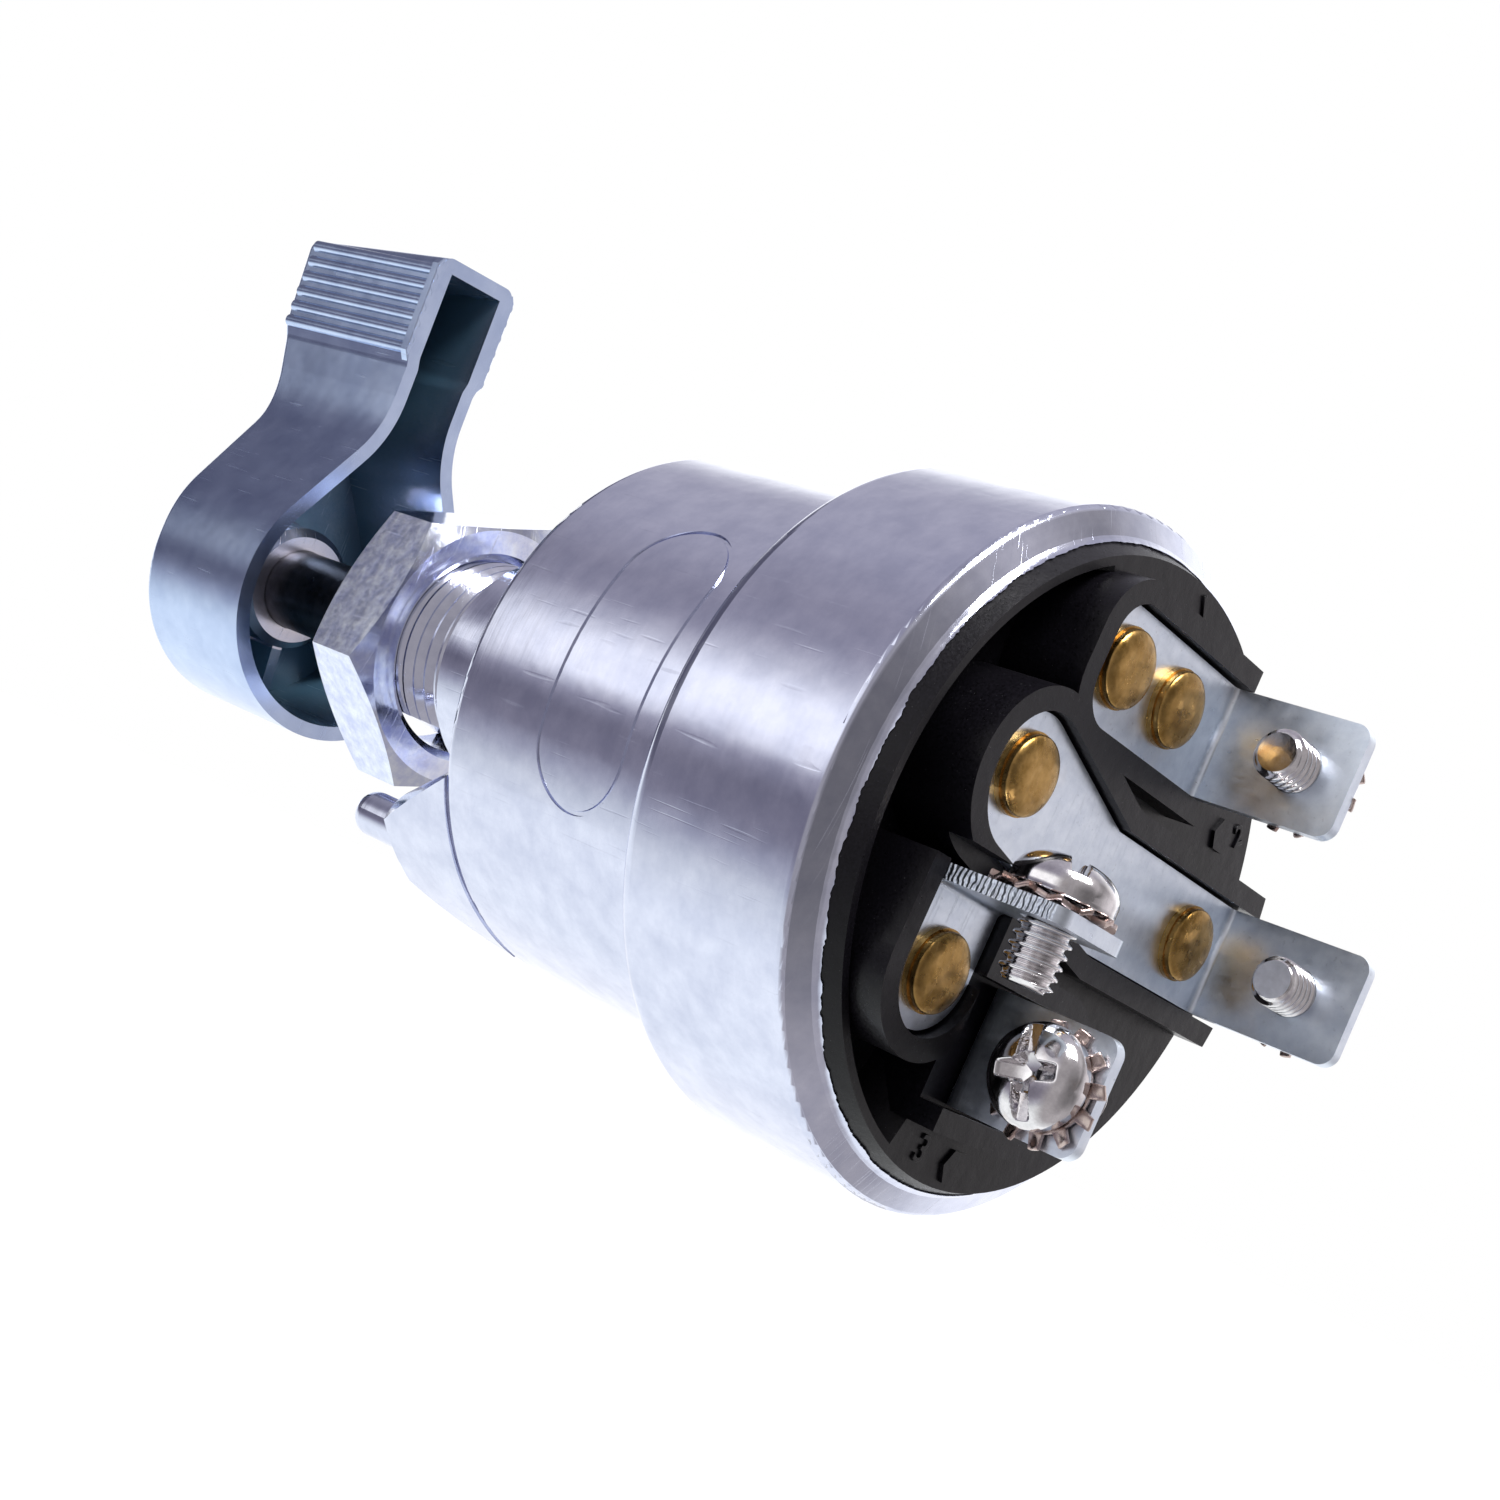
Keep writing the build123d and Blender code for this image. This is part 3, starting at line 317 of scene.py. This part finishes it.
nutLook = {
    "colours": ("#c9d0ee", "#e9eef8"), "cloudScale": 0.8,
    "brushScale": (2.2, 0.8, 2.2), "brushHeight": 0.003,
    "roughness": (0.10, 0.20),
    "scratchTurns": ((0.2, 0.9, 0.4),),
    "scratchCut": 0.71, "scratchDepth": 0.005,
    "dentScale": 0.4, "dentHeight": 0.025,
    # Mottled purple-blue patches: painted reflection, standing for the dark purple faces of the nut
    "tints": ({"scale": 0.5, "from": 0.52, "gain": 5.0, "most": 0.22, "colour": "#9192c6"},),
}
terminalLook = {
    "colours": ("#ccd5e2", "#e0e8f2"), "cloudScale": 0.6,
    "brushScale": (0.7, 0.7, 2.4), "brushHeight": 0.006,
    "roughness": (0.26, 0.40),
    "scratchTurns": ((0.5, 0.3, 0.8), (1.9, 0.4, 0.1)),
    "scratchCut": 0.70, "scratchDepth": 0.006,
    "dentScale": 0.2, "dentHeight": 0.10,
    "tints": (
        {"scale": 0.16, "from": 0.57, "gain": 3.0, "most": 0.22, "colour": "#dcbd92"},
        {"scale": 2.6, "from": 0.64, "gain": 7.0, "most": 0.30, "colour": "#7a828c"},
    ),
}
# Sheared edges of the strip bent up as the third terminal
shearedLook = dict(terminalLook, stripes={"face": "X", "along": "Y", "pitch": 0.42, "height": 0.035})
screwLook = {
    "colours": ("#d3d0d2", "#ebe8e9"), "cloudScale": 1.2,
    "brushScale": (2.0, 2.0, 2.0), "brushHeight": 0.003,
    "roughness": (0.08, 0.16),
    "dentScale": 0.9, "dentHeight": 0.012,
    "tints": ({"scale": 0.45, "from": 0.64, "gain": 5.0, "most": 0.3, "colour": "#b98f6e"},),
}
rivetLook = {
    "colours": ("#91703a", "#b8945a"), "cloudScale": 0.7,
    "brushScale": (1.2, 1.2, 1.2), "brushHeight": 0.008,
    "roughness": (0.22, 0.36),
    "scratchTurns": ((0.9, 0.2, 0.5),),
    "scratchCut": 0.68, "scratchDepth": 0.008,
    "dentScale": 0.8, "dentHeight": 0.09,
    "tints": ({"scale": 0.6, "from": 0.56, "gain": 4.0, "most": 0.8, "colour": "#5b431f"},),
}
washerLook = {
    "colours": ("#ab9792", "#d3c2bb"), "cloudScale": 1.0,
    "brushScale": (1.5, 1.5, 1.5), "brushHeight": 0.008,
    "roughness": (0.20, 0.36),
    "dentScale": 0.9, "dentHeight": 0.06,
    "tints": ({"scale": 0.8, "from": 0.52, "gain": 4.0, "most": 0.65, "colour": "#8a675d"},),
}
darkSteelLook = {
    "colours": ("#45444a", "#626066"), "cloudScale": 0.6,
    "rings": True, "brush": 4.0, "brushAlong": 1.0, "brushHeight": 0.008,
    "roughness": (0.25, 0.40),
    "dentScale": 0.5, "dentHeight": 0.03,
}
copperLook = dict(rivetLook, colours=("#b06a48", "#cf8a64"))
springLook = dict(darkSteelLook, colours=("#6c6c72", "#8d8d94"))
phenolicLook = {
    "colours": ("#09080b", "#131118"), "grainScale": 5.0, "grainHeight": 0.010,
    "waveHeight": 0.05, "roughness": (0.26, 0.42), "dust": 0.30, "sheen": 0.26,
}
rotorLook = dict(phenolicLook, colours=("#2c2019", "#3a2b20"))
rubberLook = dict(phenolicLook, colours=("#121213", "#1a1a1b"), roughness=(0.6, 0.75))

materials = {
    "zinc_casting": makeMetal("zincPlatedCasting", castingLook),
    "zinc_plated_nut": makeMetal("zincPlatedNut", nutLook),
    "zinc_lever": makeMetal("zincPlatedLever", leverLook),
    "plated_terminal": makeMetal("zincPlatedStrip", terminalLook),
    "sheared_terminal": makeMetal("shearedZincPlatedStrip", shearedLook),
    "nickel_screw": makeMetal("nickelPlatedScrew", screwLook),
    "brass_rivet": makeMetal("tumbledBrass", rivetLook),
    "bronze_washer": makeMetal("tarnishedBronze", washerLook),
    "bronze_thrust_washer": makeMetal("plainBronze", copperLook),
    "dark_steel_shaft": makeMetal("darkTurnedSteel", darkSteelLook),
    "spring_steel": makeMetal("springSteel", springLook),
    "ball_steel": makeMetal("polishedSteel", screwLook),
    "copper_contact": makeMetal("contactCopper", copperLook),
    "phenolic": makeMoulded("blackPhenolic", phenolicLook),
    "moulded_rotor": makeMoulded("brownPhenolic", rotorLook),
    "fibre_gasket": makeMoulded("darkFibre", rubberLook),
    "nitrile_seal": makeMoulded("blackRubber", rubberLook),
}

for part in frame["record"]["subparts"]:
    node = frame["nodes"][part["node"]]
    node.data.materials.clear()
    finish = "sheared_terminal" if part["node"] == "terminal_3" else part["material_slot"]
    node.data.materials.append(materials[finish])
print("materials made")


# Fasteners, made again with threads, a cross recess and twisted teeth

# Object from rows of points that all have the same count and close on themselves
def rowsObject(name, rows, finish, place, sharp=62):
    count = len(rows[0])
    points = [place @ Vector(point) for row in rows for point in row]
    faces = []
    for row in range(len(rows) - 1):
        for column in range(count):
            after = (column + 1) % count
            low, high = row * count, (row + 1) * count
            faces.append((low + column, low + after, high + after, high + column))
    faces.append(tuple(reversed(range(count))))
    faces.append(tuple(range((len(rows) - 1) * count, len(rows) * count)))
    mesh = bpy.data.meshes.new(name)
    mesh.from_pydata([point * mm for point in points], [], faces)
    mesh.validate()
    mesh.polygons.foreach_set("use_smooth", [True] * len(mesh.polygons))
    mesh.set_sharp_from_angle(angle=math.radians(sharp))
    mesh.materials.append(materials[finish])
    piece = bpy.data.objects.new(name, mesh)
    bpy.context.collection.objects.link(piece)
    return piece


def smoothStep(low, high, value):
    share = min(max((value - low) / (high - low), 0.0), 1.0)
    return share * share * (3 - 2 * share)


screw = {
    "majorRadius": 2.08, "minorRadius": 1.66, "pitch": 0.794, "headRadius": 3.88,
    "headHeight": 2.95, "headEdge": 0.75, "slotHalf": 0.58, "slotFloor": 1.8,
    "crossHalf": 0.52, "crossReach": 2.35, "crossFloor": 1.3, "crossRise": 1.1, "pitInner": 0.95,
    "pitOuter": 1.25, "wall": 0.22,
    "columns": 160,
}


# Height of the head's top at a place, with its slot and cross cut in
def headHeight(x, y):
    distance = math.hypot(x, y)
    share = min(distance / screw["headRadius"], 1.0)
    rise = screw["headHeight"] - screw["headEdge"]
    dome = screw["headEdge"] + rise * (1 - share ** 2.7) ** 0.55
    wall = screw["wall"]
    inSlot = 1 - smoothStep(screw["slotHalf"] - wall / 2, screw["slotHalf"] + wall / 2, abs(x))
    height = dome - inSlot * max(dome - screw["slotFloor"], 0.0)
    side = min(abs(x), abs(y))
    reach = max(abs(x), abs(y))
    floor = screw["crossFloor"] + screw["crossRise"] * (reach / screw["crossReach"]) ** 1.6
    half = screw["crossHalf"] * (1.25 - 0.25 * reach / screw["crossReach"])
    inCross = 1 - smoothStep(half - wall / 2, half + wall / 2, side)
    inCross *= 1 - smoothStep(screw["crossReach"] - wall, screw["crossReach"] + wall, reach)
    middle = 1 - smoothStep(screw["pitInner"], screw["pitOuter"], distance)
    inCross = max(inCross, middle)
    return height - inCross * max(height - floor, 0.0)


def screwRows(length):
    columns = screw["columns"]
    angles = [2 * math.pi * column / columns for column in range(columns)]
    rows = []
    steps = int(length / screw["pitch"] * 14)
    for step in range(steps + 1):
        z = -length + length * step / steps
        start = smoothStep(0.0, 0.45, z + length)
        row = []
        for angle in angles:
            turn = (z / screw["pitch"] - angle / (2 * math.pi)) % 1.0
            tooth = 1 - abs(2 * turn - 1)
            depth = smoothStep(0.12, 0.88, tooth) * start
            if step == 0:
                depth = 0.0
            radius = screw["minorRadius"] - 0.12 * (1 - start)
            radius += (screw["majorRadius"] - screw["minorRadius"]) * depth
            row.append((radius * math.cos(angle), radius * math.sin(angle), z))
        rows.append(row)
    head = screw["headRadius"]
    for radius, z in ((2.0, 0.0), (head - 0.14, 0.0), (head - 0.04, 0.05), (head, 0.14), (head, 0.45)):
        rows.append([(radius * math.cos(angle), radius * math.sin(angle), z) for angle in angles])
    for step in range(72):
        share = 1 - (step / 72) ** 1.25
        radius = head * math.sin(share * math.pi / 2) ** 0.9
        rows.append([
            (x, y, max(headHeight(x, y), 0.46))
            for x, y in ((radius * math.cos(angle), radius * math.sin(angle)) for angle in angles)
        ])
    return rows


washer = {
    "thickness": 0.42, "hole": 2.62, "root": 3.55, "tip": 4.66, "teeth": 12,
    "twist": 0.20, "columns": 240,
}


def washerRows():
    middle = 0.40
    rows = []
    angles = [2 * math.pi * column / washer["columns"] for column in range(washer["columns"])]
    half = washer["thickness"] / 2

    def ring(share, side):
        row = []
        for angle in angles:
            phase = washer["teeth"] * angle
            tooth = smoothStep(-0.35, 0.35, math.cos(phase))
            tip = washer["root"] + (washer["tip"] - washer["root"]) * tooth
            radius = washer["hole"] + (tip - washer["hole"]) * share
            lift = smoothStep(washer["root"] - 0.5, washer["tip"], radius)
            twist = washer["twist"] * math.sin(phase) * lift * 1.3
            z = middle + side * half * (1.0 if share < 0.97 else 0.6) + max(min(twist, 0.19), -0.19)
            row.append((radius * math.cos(angle), radius * math.sin(angle), z))
        return row

    shares = (0.0, 0.25, 0.5, 0.62, 0.74, 0.86, 0.96, 1.0)
    rows += [ring(share, -1) for share in shares]
    rows += [ring(share, 1) for share in reversed(shares)]
    return rows


# Object from rows that close on themselves both ways, as a ring does
def ringObject(name, rows, finish, place):
    piece = rowsObject(name, rows + [rows[0]], finish, place)
    mesh = piece.data
    ends = [polygon.index for polygon in mesh.polygons if len(polygon.vertices) > 4]
    build = bmesh.new()
    build.from_mesh(mesh)
    build.faces.ensure_lookup_table()
    bmesh.ops.delete(build, geom=[build.faces[index] for index in ends], context="FACES_ONLY")
    bmesh.ops.remove_doubles(build, verts=build.verts, dist=1e-7)
    bmesh.ops.recalc_face_normals(build, faces=build.faces)
    build.to_mesh(mesh)
    build.free()
    return piece


# Local z leaves the head, local x is the slot's crosswise direction
def fastenerPlace(origin, outward, turn):
    outward = Vector(outward)
    side = Vector((0, 1, 0)) if abs(outward.y) < 0.5 else Vector((1, 0, 0))
    other = outward.cross(side)
    a = math.radians(turn)
    x = side * math.cos(a) + other * math.sin(a)
    y = outward.cross(x)
    return Matrix.Translation(Vector(origin)) @ Matrix((x, y, outward)).transposed().to_4x4()


# Hole in each tab, the way the head faces, and how far the loose washer sits off centre
terminalFasteners = (
    {
        "origin": (-9.1, 54.1, 15.05), "outward": (-1, 0, 0), "turn": 20,
        "length": 5.4, "shift": (0, 0.3, -0.3),
    },
    {
        "origin": (-22.6, 54.4, 0.35), "outward": (-1, 0, 0), "turn": 65,
        "length": 5.8, "shift": (0, 0.3, -0.3),
    },
    {
        "origin": (13.95, 53.9, -3.6), "outward": (0, 0, 1), "turn": 40,
        "length": 6.4, "shift": (0.25, -0.35, 0),
    },
    {
        "origin": (5.0, 53.3, -14.2), "outward": (1, 0, 0), "turn": 16.5,
        "length": 6.4, "shift": (0, 0.3, -0.3),
    },
)
# Room that the washer takes under the head
washerSpace = 0.8
for number, fastener in enumerate(terminalFasteners, 1):
    outward = Vector(fastener["outward"])
    seat = Vector(fastener["origin"]) + outward * washerSpace
    place = fastenerPlace(seat, outward, fastener["turn"])
    piece = rowsObject(f"terminalScrew{number}", screwRows(fastener["length"]), "nickel_screw", place)
    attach(piece, "case")
    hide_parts(f"terminal_screw_{number}")
    origin = Vector(fastener["origin"]) + Vector(fastener["shift"])
    place = fastenerPlace(origin, outward, 11 * number)
    piece = ringObject(f"starWasher{number}", washerRows(), "bronze_washer", place)
    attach(piece, "case")
    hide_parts(f"star_washer_{number}")
print("fasteners made")


# Burr along the inner edge of the crimped lip

# Radius and station of each row, from the lip inwards
crimp = {
    "columns": 720,
    "rows": ((26.05, 43.18), (25.86, 43.36), (25.72, 43.47), (25.64, 43.56), (25.52, 43.40)),
}


def crimpBurr():
    rows = []
    draws = [randomDraw.random() for _ in range(crimp["columns"])]
    for index, (radius, y) in enumerate(crimp["rows"]):
        row = []
        for column in range(crimp["columns"]):
            angle = 2 * math.pi * column / crimp["columns"]
            slow = math.sin(7 * angle + 1.0) * math.sin(17 * angle) + 0.6 * math.sin(41 * angle + 2.0)
            jag = 0.5 + 0.28 * slow + 0.5 * (draws[column] - 0.5)
            lift = max(jag, 0.0) * (0.0, 0.0, 0.10, 0.30, 0.22)[index]
            wide = radius - max(jag, 0.0) * (0.0, 0.0, 0.04, 0.07, 0.07)[index]
            row.append((wide * math.cos(angle), y + lift, wide * math.sin(angle)))
        rows.append(row)
    return ringObject("crimpBurr", rows, "zinc_casting", Matrix.Identity(4))


burr = crimpBurr()
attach(burr, "case")
print("crimp made")


# Strip that fills the groove between the index boss and the small drum's rounded front edge

bossRoot = {
    "radius": 23.6, "angle": -55.0, "half": 23.0, "front": -0.12, "back": 1.05,
    "depth": 1.1, "endDrop": 0.5, "columns": 60,
}


def makeBossRoot():
    build = bmesh.new()
    rings = []
    for column in range(bossRoot["columns"] + 1):
        share = 2 * column / bossRoot["columns"] - 1
        angle = math.radians(bossRoot["angle"] + bossRoot["half"] * share)
        outer = bossRoot["radius"] - bossRoot["endDrop"] * smoothStep(0.90, 1.0, abs(share))
        inner = bossRoot["radius"] - bossRoot["depth"]
        corners = (
            (inner, bossRoot["front"]), (outer, bossRoot["front"]),
            (outer, bossRoot["back"]), (inner, bossRoot["back"]),
        )
        rings.append([
            build.verts.new((r * math.cos(angle) * mm, y * mm, r * math.sin(angle) * mm))
            for r, y in corners
        ])
    for low, high in zip(rings, rings[1:]):
        for index in range(4):
            after = (index + 1) % 4
            build.faces.new((low[index], low[after], high[after], high[index]))
    build.faces.new(rings[0])
    build.faces.new(tuple(reversed(rings[-1])))
    bmesh.ops.recalc_face_normals(build, faces=build.faces)
    mesh = bpy.data.meshes.new("bossRoot")
    build.to_mesh(mesh)
    build.free()
    mesh.polygons.foreach_set("use_smooth", [True] * len(mesh.polygons))
    mesh.set_sharp_from_angle(angle=math.radians(40))
    mesh.materials.append(materials["zinc_casting"])
    piece = bpy.data.objects.new("bossRoot", mesh)
    bpy.context.collection.objects.link(piece)
    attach(piece, "case")


makeBossRoot()
print("boss root made")


# Flange behind the grip ribs, which hides their ends from the lever's open side

grip = {
    "lean": -6.0, "rear": -46.52, "front": -47.5, "inner": 4.6, "outer": 5.43,
    "low": 25.2, "rise": 1.2, "high": 36.2,
}


def gripFlange(side):
    outline = [
        (grip["inner"], grip["low"]),
        (grip["outer"], grip["low"] + grip["rise"]),
        (grip["outer"], grip["high"] - 0.5),
        (grip["outer"] - 0.45, grip["high"] + 0.2),
        (grip["inner"], grip["high"] + 0.1),
    ]
    build = bmesh.new()
    rings = []
    sections = (
        (grip["rear"], 0.12), (grip["rear"] - 0.12, 0.0),
        (grip["front"], 0.0), (grip["front"] - 0.25, 0.35),
    )
    for y, inset in sections:
        ring = []
        for x, z in outline:
            place = Vector((side * max(x - inset, grip["inner"] - 0.2), y, z))
            place = Matrix.Rotation(math.radians(-grip["lean"]), 4, "Y") @ place
            ring.append(build.verts.new(place * mm))
        rings.append(ring)
    count = len(outline)
    for low, high in zip(rings, rings[1:]):
        for index in range(count):
            after = (index + 1) % count
            build.faces.new((low[index], low[after], high[after], high[index]))
    build.faces.new(rings[0])
    build.faces.new(tuple(reversed(rings[-1])))
    bmesh.ops.recalc_face_normals(build, faces=build.faces)
    mesh = bpy.data.meshes.new("gripFlange")
    build.to_mesh(mesh)
    build.free()
    mesh.materials.append(materials["zinc_lever"])
    piece = bpy.data.objects.new(f"gripFlange{'Right' if side > 0 else 'Left'}", mesh)
    bpy.context.collection.objects.link(piece)
    return piece


for side in (-1, 1):
    piece = gripFlange(side)
    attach(piece, "turning")
print("grip flanges made")


# Plain numerals moulded beside the terminals

marks = (
    {"text": "1", "place": (-1.7, 45.0, 23.3), "turn": 35, "size": 3.0},
    {"text": "2", "place": (-20.4, 45.0, 10.6), "turn": 35, "size": 2.6},
    {"text": "3", "place": (3.6, 45.0, -22.6), "turn": -8, "size": 3.0},
)


def addMark(number, mark):
    curve = bpy.data.curves.new(f"mark{number}", "FONT")
    curve.body = mark["text"]
    curve.size = mark["size"] * mm
    curve.extrude = 0.16 * mm
    curve.bevel_depth = 0.05 * mm
    curve.align_x = "CENTER"
    curve.align_y = "CENTER"
    draft = bpy.data.objects.new(f"markDraft{number}", curve)
    bpy.context.collection.objects.link(draft)
    mesh = bpy.data.meshes.new_from_object(draft)
    bpy.data.objects.remove(draft)
    turn = Matrix.Rotation(math.radians(mark["turn"]), 4, "Z")
    upright = Matrix(((-1, 0, 0), (0, 0, 1), (0, 1, 0))).to_4x4()
    mesh.transform(Matrix.Translation(Vector(mark["place"]) * mm) @ upright @ turn)
    mesh.materials.clear()
    mesh.materials.append(materials["phenolic"])
    piece = bpy.data.objects.new(f"mouldedMark{number}", mesh)
    bpy.context.collection.objects.link(piece)
    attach(piece, "case")


for number, mark in enumerate(marks, 1):
    addMark(number, mark)
print("marks made")


# Surroundings

# The photograph's width and the focal length found for it, both in its pixels
pictureWidth = 1500
focalLength = 2216.68
camera = bpy.data.objects.new("camera", bpy.data.cameras.new("camera"))
bpy.context.collection.objects.link(camera)
cameraPlace = Vector((141.05, 135.16, -15.05)) * mm
cameraLook = Vector((-0.7468, -0.6597, 0.0843)).normalized()
cameraUp = Vector((0.3348, -0.2633, 0.9048))
cameraRight = cameraLook.cross(cameraUp).normalized()
cameraUp = cameraRight.cross(cameraLook)
rotation = Matrix((cameraRight, cameraUp, -cameraLook)).transposed()
camera.matrix_world = Matrix.Translation(cameraPlace) @ rotation.to_4x4()
camera.data.sensor_width = 36.0
camera.data.lens = camera.data.sensor_width * focalLength / pictureWidth
camera.data.clip_start = 0.01
camera.data.clip_end = 20.0
bpy.context.scene.camera = camera
bpy.context.scene.view_settings.view_transform = "Standard"


# White tent with darker sides; its levels change with the angle round the switch axis,
# with a dark patch towards the lever's side and a dimmer half towards the terminals
def makeWorld():
    world = bpy.data.worlds.new("studio")
    bpy.context.scene.world = world
    world.use_nodes = True
    tree = world.node_tree
    tree.nodes.clear()
    place = addNode(tree, "ShaderNodeTexCoord")
    parts = addNode(tree, "ShaderNodeSeparateXYZ", links={"Vector": place.outputs["Generated"]}).outputs
    angle = addMath(tree, "ARCTAN2", parts["Z"], parts["X"])
    turn = addMath(tree, "ADD", addMath(tree, "DIVIDE", angle, 2 * math.pi), 0.5)
    tent = [
        (-180, 0.78), (-163, 0.80), (-110, 0.76), (-60, 0.75), (-45, 0.58), (-34, 0.34), (-25, 0.18),
        (-12, 0.15), (-4, 0.28), (3, 0.90), (17, 0.84), (27, 0.46), (37, 0.26), (50, 0.23),
        (75, 0.32), (116, 0.35), (127, 0.45), (138, 0.8), (150, 1.0), (178, 1.0),
    ]
    stops = []
    for degrees, level in tent:
        violet = max(0.0, 0.6 - level)
        cool = 0.96 if -150 < degrees < -30 else 1.0
        colour = (
            level * cool * (1 - 0.05 * violet), level * (1 - 0.18 * violet),
            level * (1.01 + 0.30 * violet), 1.0,
        )
        stops.append(((degrees + 180) / 360, colour))
    level = addRamp(tree, turn, stops)
    patch = addRamp(tree, turn, [
        ((degrees + 180) / 360, (share, share, share, 1.0))
        for degrees, share in ((-28, 0.0), (-14, 1.0), (110, 1.0), (138, 0.0))
    ])
    near = addNode(
        tree, "ShaderNodeMapRange",
        values={"From Min": -0.75, "From Max": -0.78, "To Min": 0.0, "To Max": 0.90},
        links={"Value": parts["Y"]},
    ).outputs["Result"]
    darkShare = addMath(tree, "MULTIPLY", patch, near)
    level = mixColours(tree, darkShare, level, (0.060, 0.059, 0.086, 1.0))
    behind = [
        (-180, 0.52), (-165, 0.36), (-145, 0.28), (-110, 0.34), (-60, 0.28), (20, 0.26),
        (90, 0.28), (110, 0.38), (126, 0.20), (150, 0.50), (168, 0.60), (180, 0.58),
    ]
    farLevel = addRamp(tree, turn, [
        ((degrees + 180) / 360, (share * 1.03, share * 0.98, share * 1.01, 1.0))
        for degrees, share in behind
    ])
    end = addNode(
        tree, "ShaderNodeMapRange",
        values={"From Min": 0.68, "From Max": 0.95, "To Min": 1.0, "To Max": 0.45},
        links={"Value": parts["Y"]},
    ).outputs["Result"]
    farLevel = addNode(
        tree, "ShaderNodeVectorMath", {"operation": "SCALE"},
        links={"Vector": farLevel, "Scale": end},
    ).outputs["Vector"]
    farShare = addNode(
        tree, "ShaderNodeMapRange",
        values={"From Min": 0.05, "From Max": 0.38, "To Min": 0.0, "To Max": 1.0},
        links={"Value": parts["Y"]},
    ).outputs["Result"]
    level = mixColours(tree, farShare, level, farLevel)
    studio = addNode(tree, "ShaderNodeBackground", values={"Strength": 1.5}, links={"Color": level})
    white = addNode(tree, "ShaderNodeBackground", values={"Color": (1, 1, 1, 1), "Strength": 1.0})
    rays = addNode(tree, "ShaderNodeLightPath")
    mixed = addNode(tree, "ShaderNodeMixShader", links={"Fac": rays.outputs["Is Camera Ray"]})
    tree.links.new(studio.outputs[0], mixed.inputs[1])
    tree.links.new(white.outputs[0], mixed.inputs[2])
    addNode(tree, "ShaderNodeOutputWorld", links={"Surface": mixed.outputs[0]})


makeWorld()


def addSoftbox(name, place, target, size, energy):
    light = bpy.data.lights.new(name, "AREA")
    light.shape = "RECTANGLE"
    light.size, light.size_y = (side * mm for side in size)
    light.energy = energy
    holder = bpy.data.objects.new(name, light)
    bpy.context.collection.objects.link(holder)
    holder.location = Vector(place) * mm
    holder.rotation_euler = (Vector(target) * mm - holder.location).to_track_quat("-Z", "Y").to_euler()


addSoftbox("topBox", (60, 160, 260), (0, 20, 0), (160, 120), 1.2)


def addFloor():
    mesh = bpy.data.meshes.new("floor")
    reach, height = 3.0, -0.13
    mesh.from_pydata(
        [
            (-reach, -reach, height), (reach, -reach, height),
            (reach, reach, height), (-reach, reach, height),
        ],
        [], [(0, 1, 2, 3)],
    )
    floor = bpy.data.objects.new("floor", mesh)
    bpy.context.collection.objects.link(floor)
    material = bpy.data.materials.new("paperFloor")
    material.use_nodes = True
    tree = material.node_tree
    tree.nodes.clear()
    place = addNode(tree, "ShaderNodeTexCoord")
    fibre = addNoise(tree, place.outputs["Object"], 120.0, 3.0, 0.5)
    colour = addRamp(tree, fibre, [(0.3, (0.80, 0.80, 0.81, 1)), (0.7, (0.84, 0.84, 0.85, 1))])
    diffuse = addNode(tree, "ShaderNodeBsdfDiffuse", links={"Color": colour})
    glow = addNode(tree, "ShaderNodeEmission", values={"Color": (1, 1, 1, 1), "Strength": 0.62})
    both = addNode(tree, "ShaderNodeAddShader")
    tree.links.new(diffuse.outputs[0], both.inputs[0])
    tree.links.new(glow.outputs[0], both.inputs[1])
    # The tent lights the metal from below, so only the camera meets the floor
    rays = addNode(tree, "ShaderNodeLightPath")
    clear = addNode(tree, "ShaderNodeBsdfTransparent")
    mixed = addNode(tree, "ShaderNodeMixShader", links={"Fac": rays.outputs["Is Camera Ray"]})
    tree.links.new(clear.outputs[0], mixed.inputs[1])
    tree.links.new(both.outputs[0], mixed.inputs[2])
    addNode(tree, "ShaderNodeOutputMaterial", links={"Surface": mixed.outputs[0]})
    mesh.materials.append(material)


addFloor()
print("camera, lights and floor made")
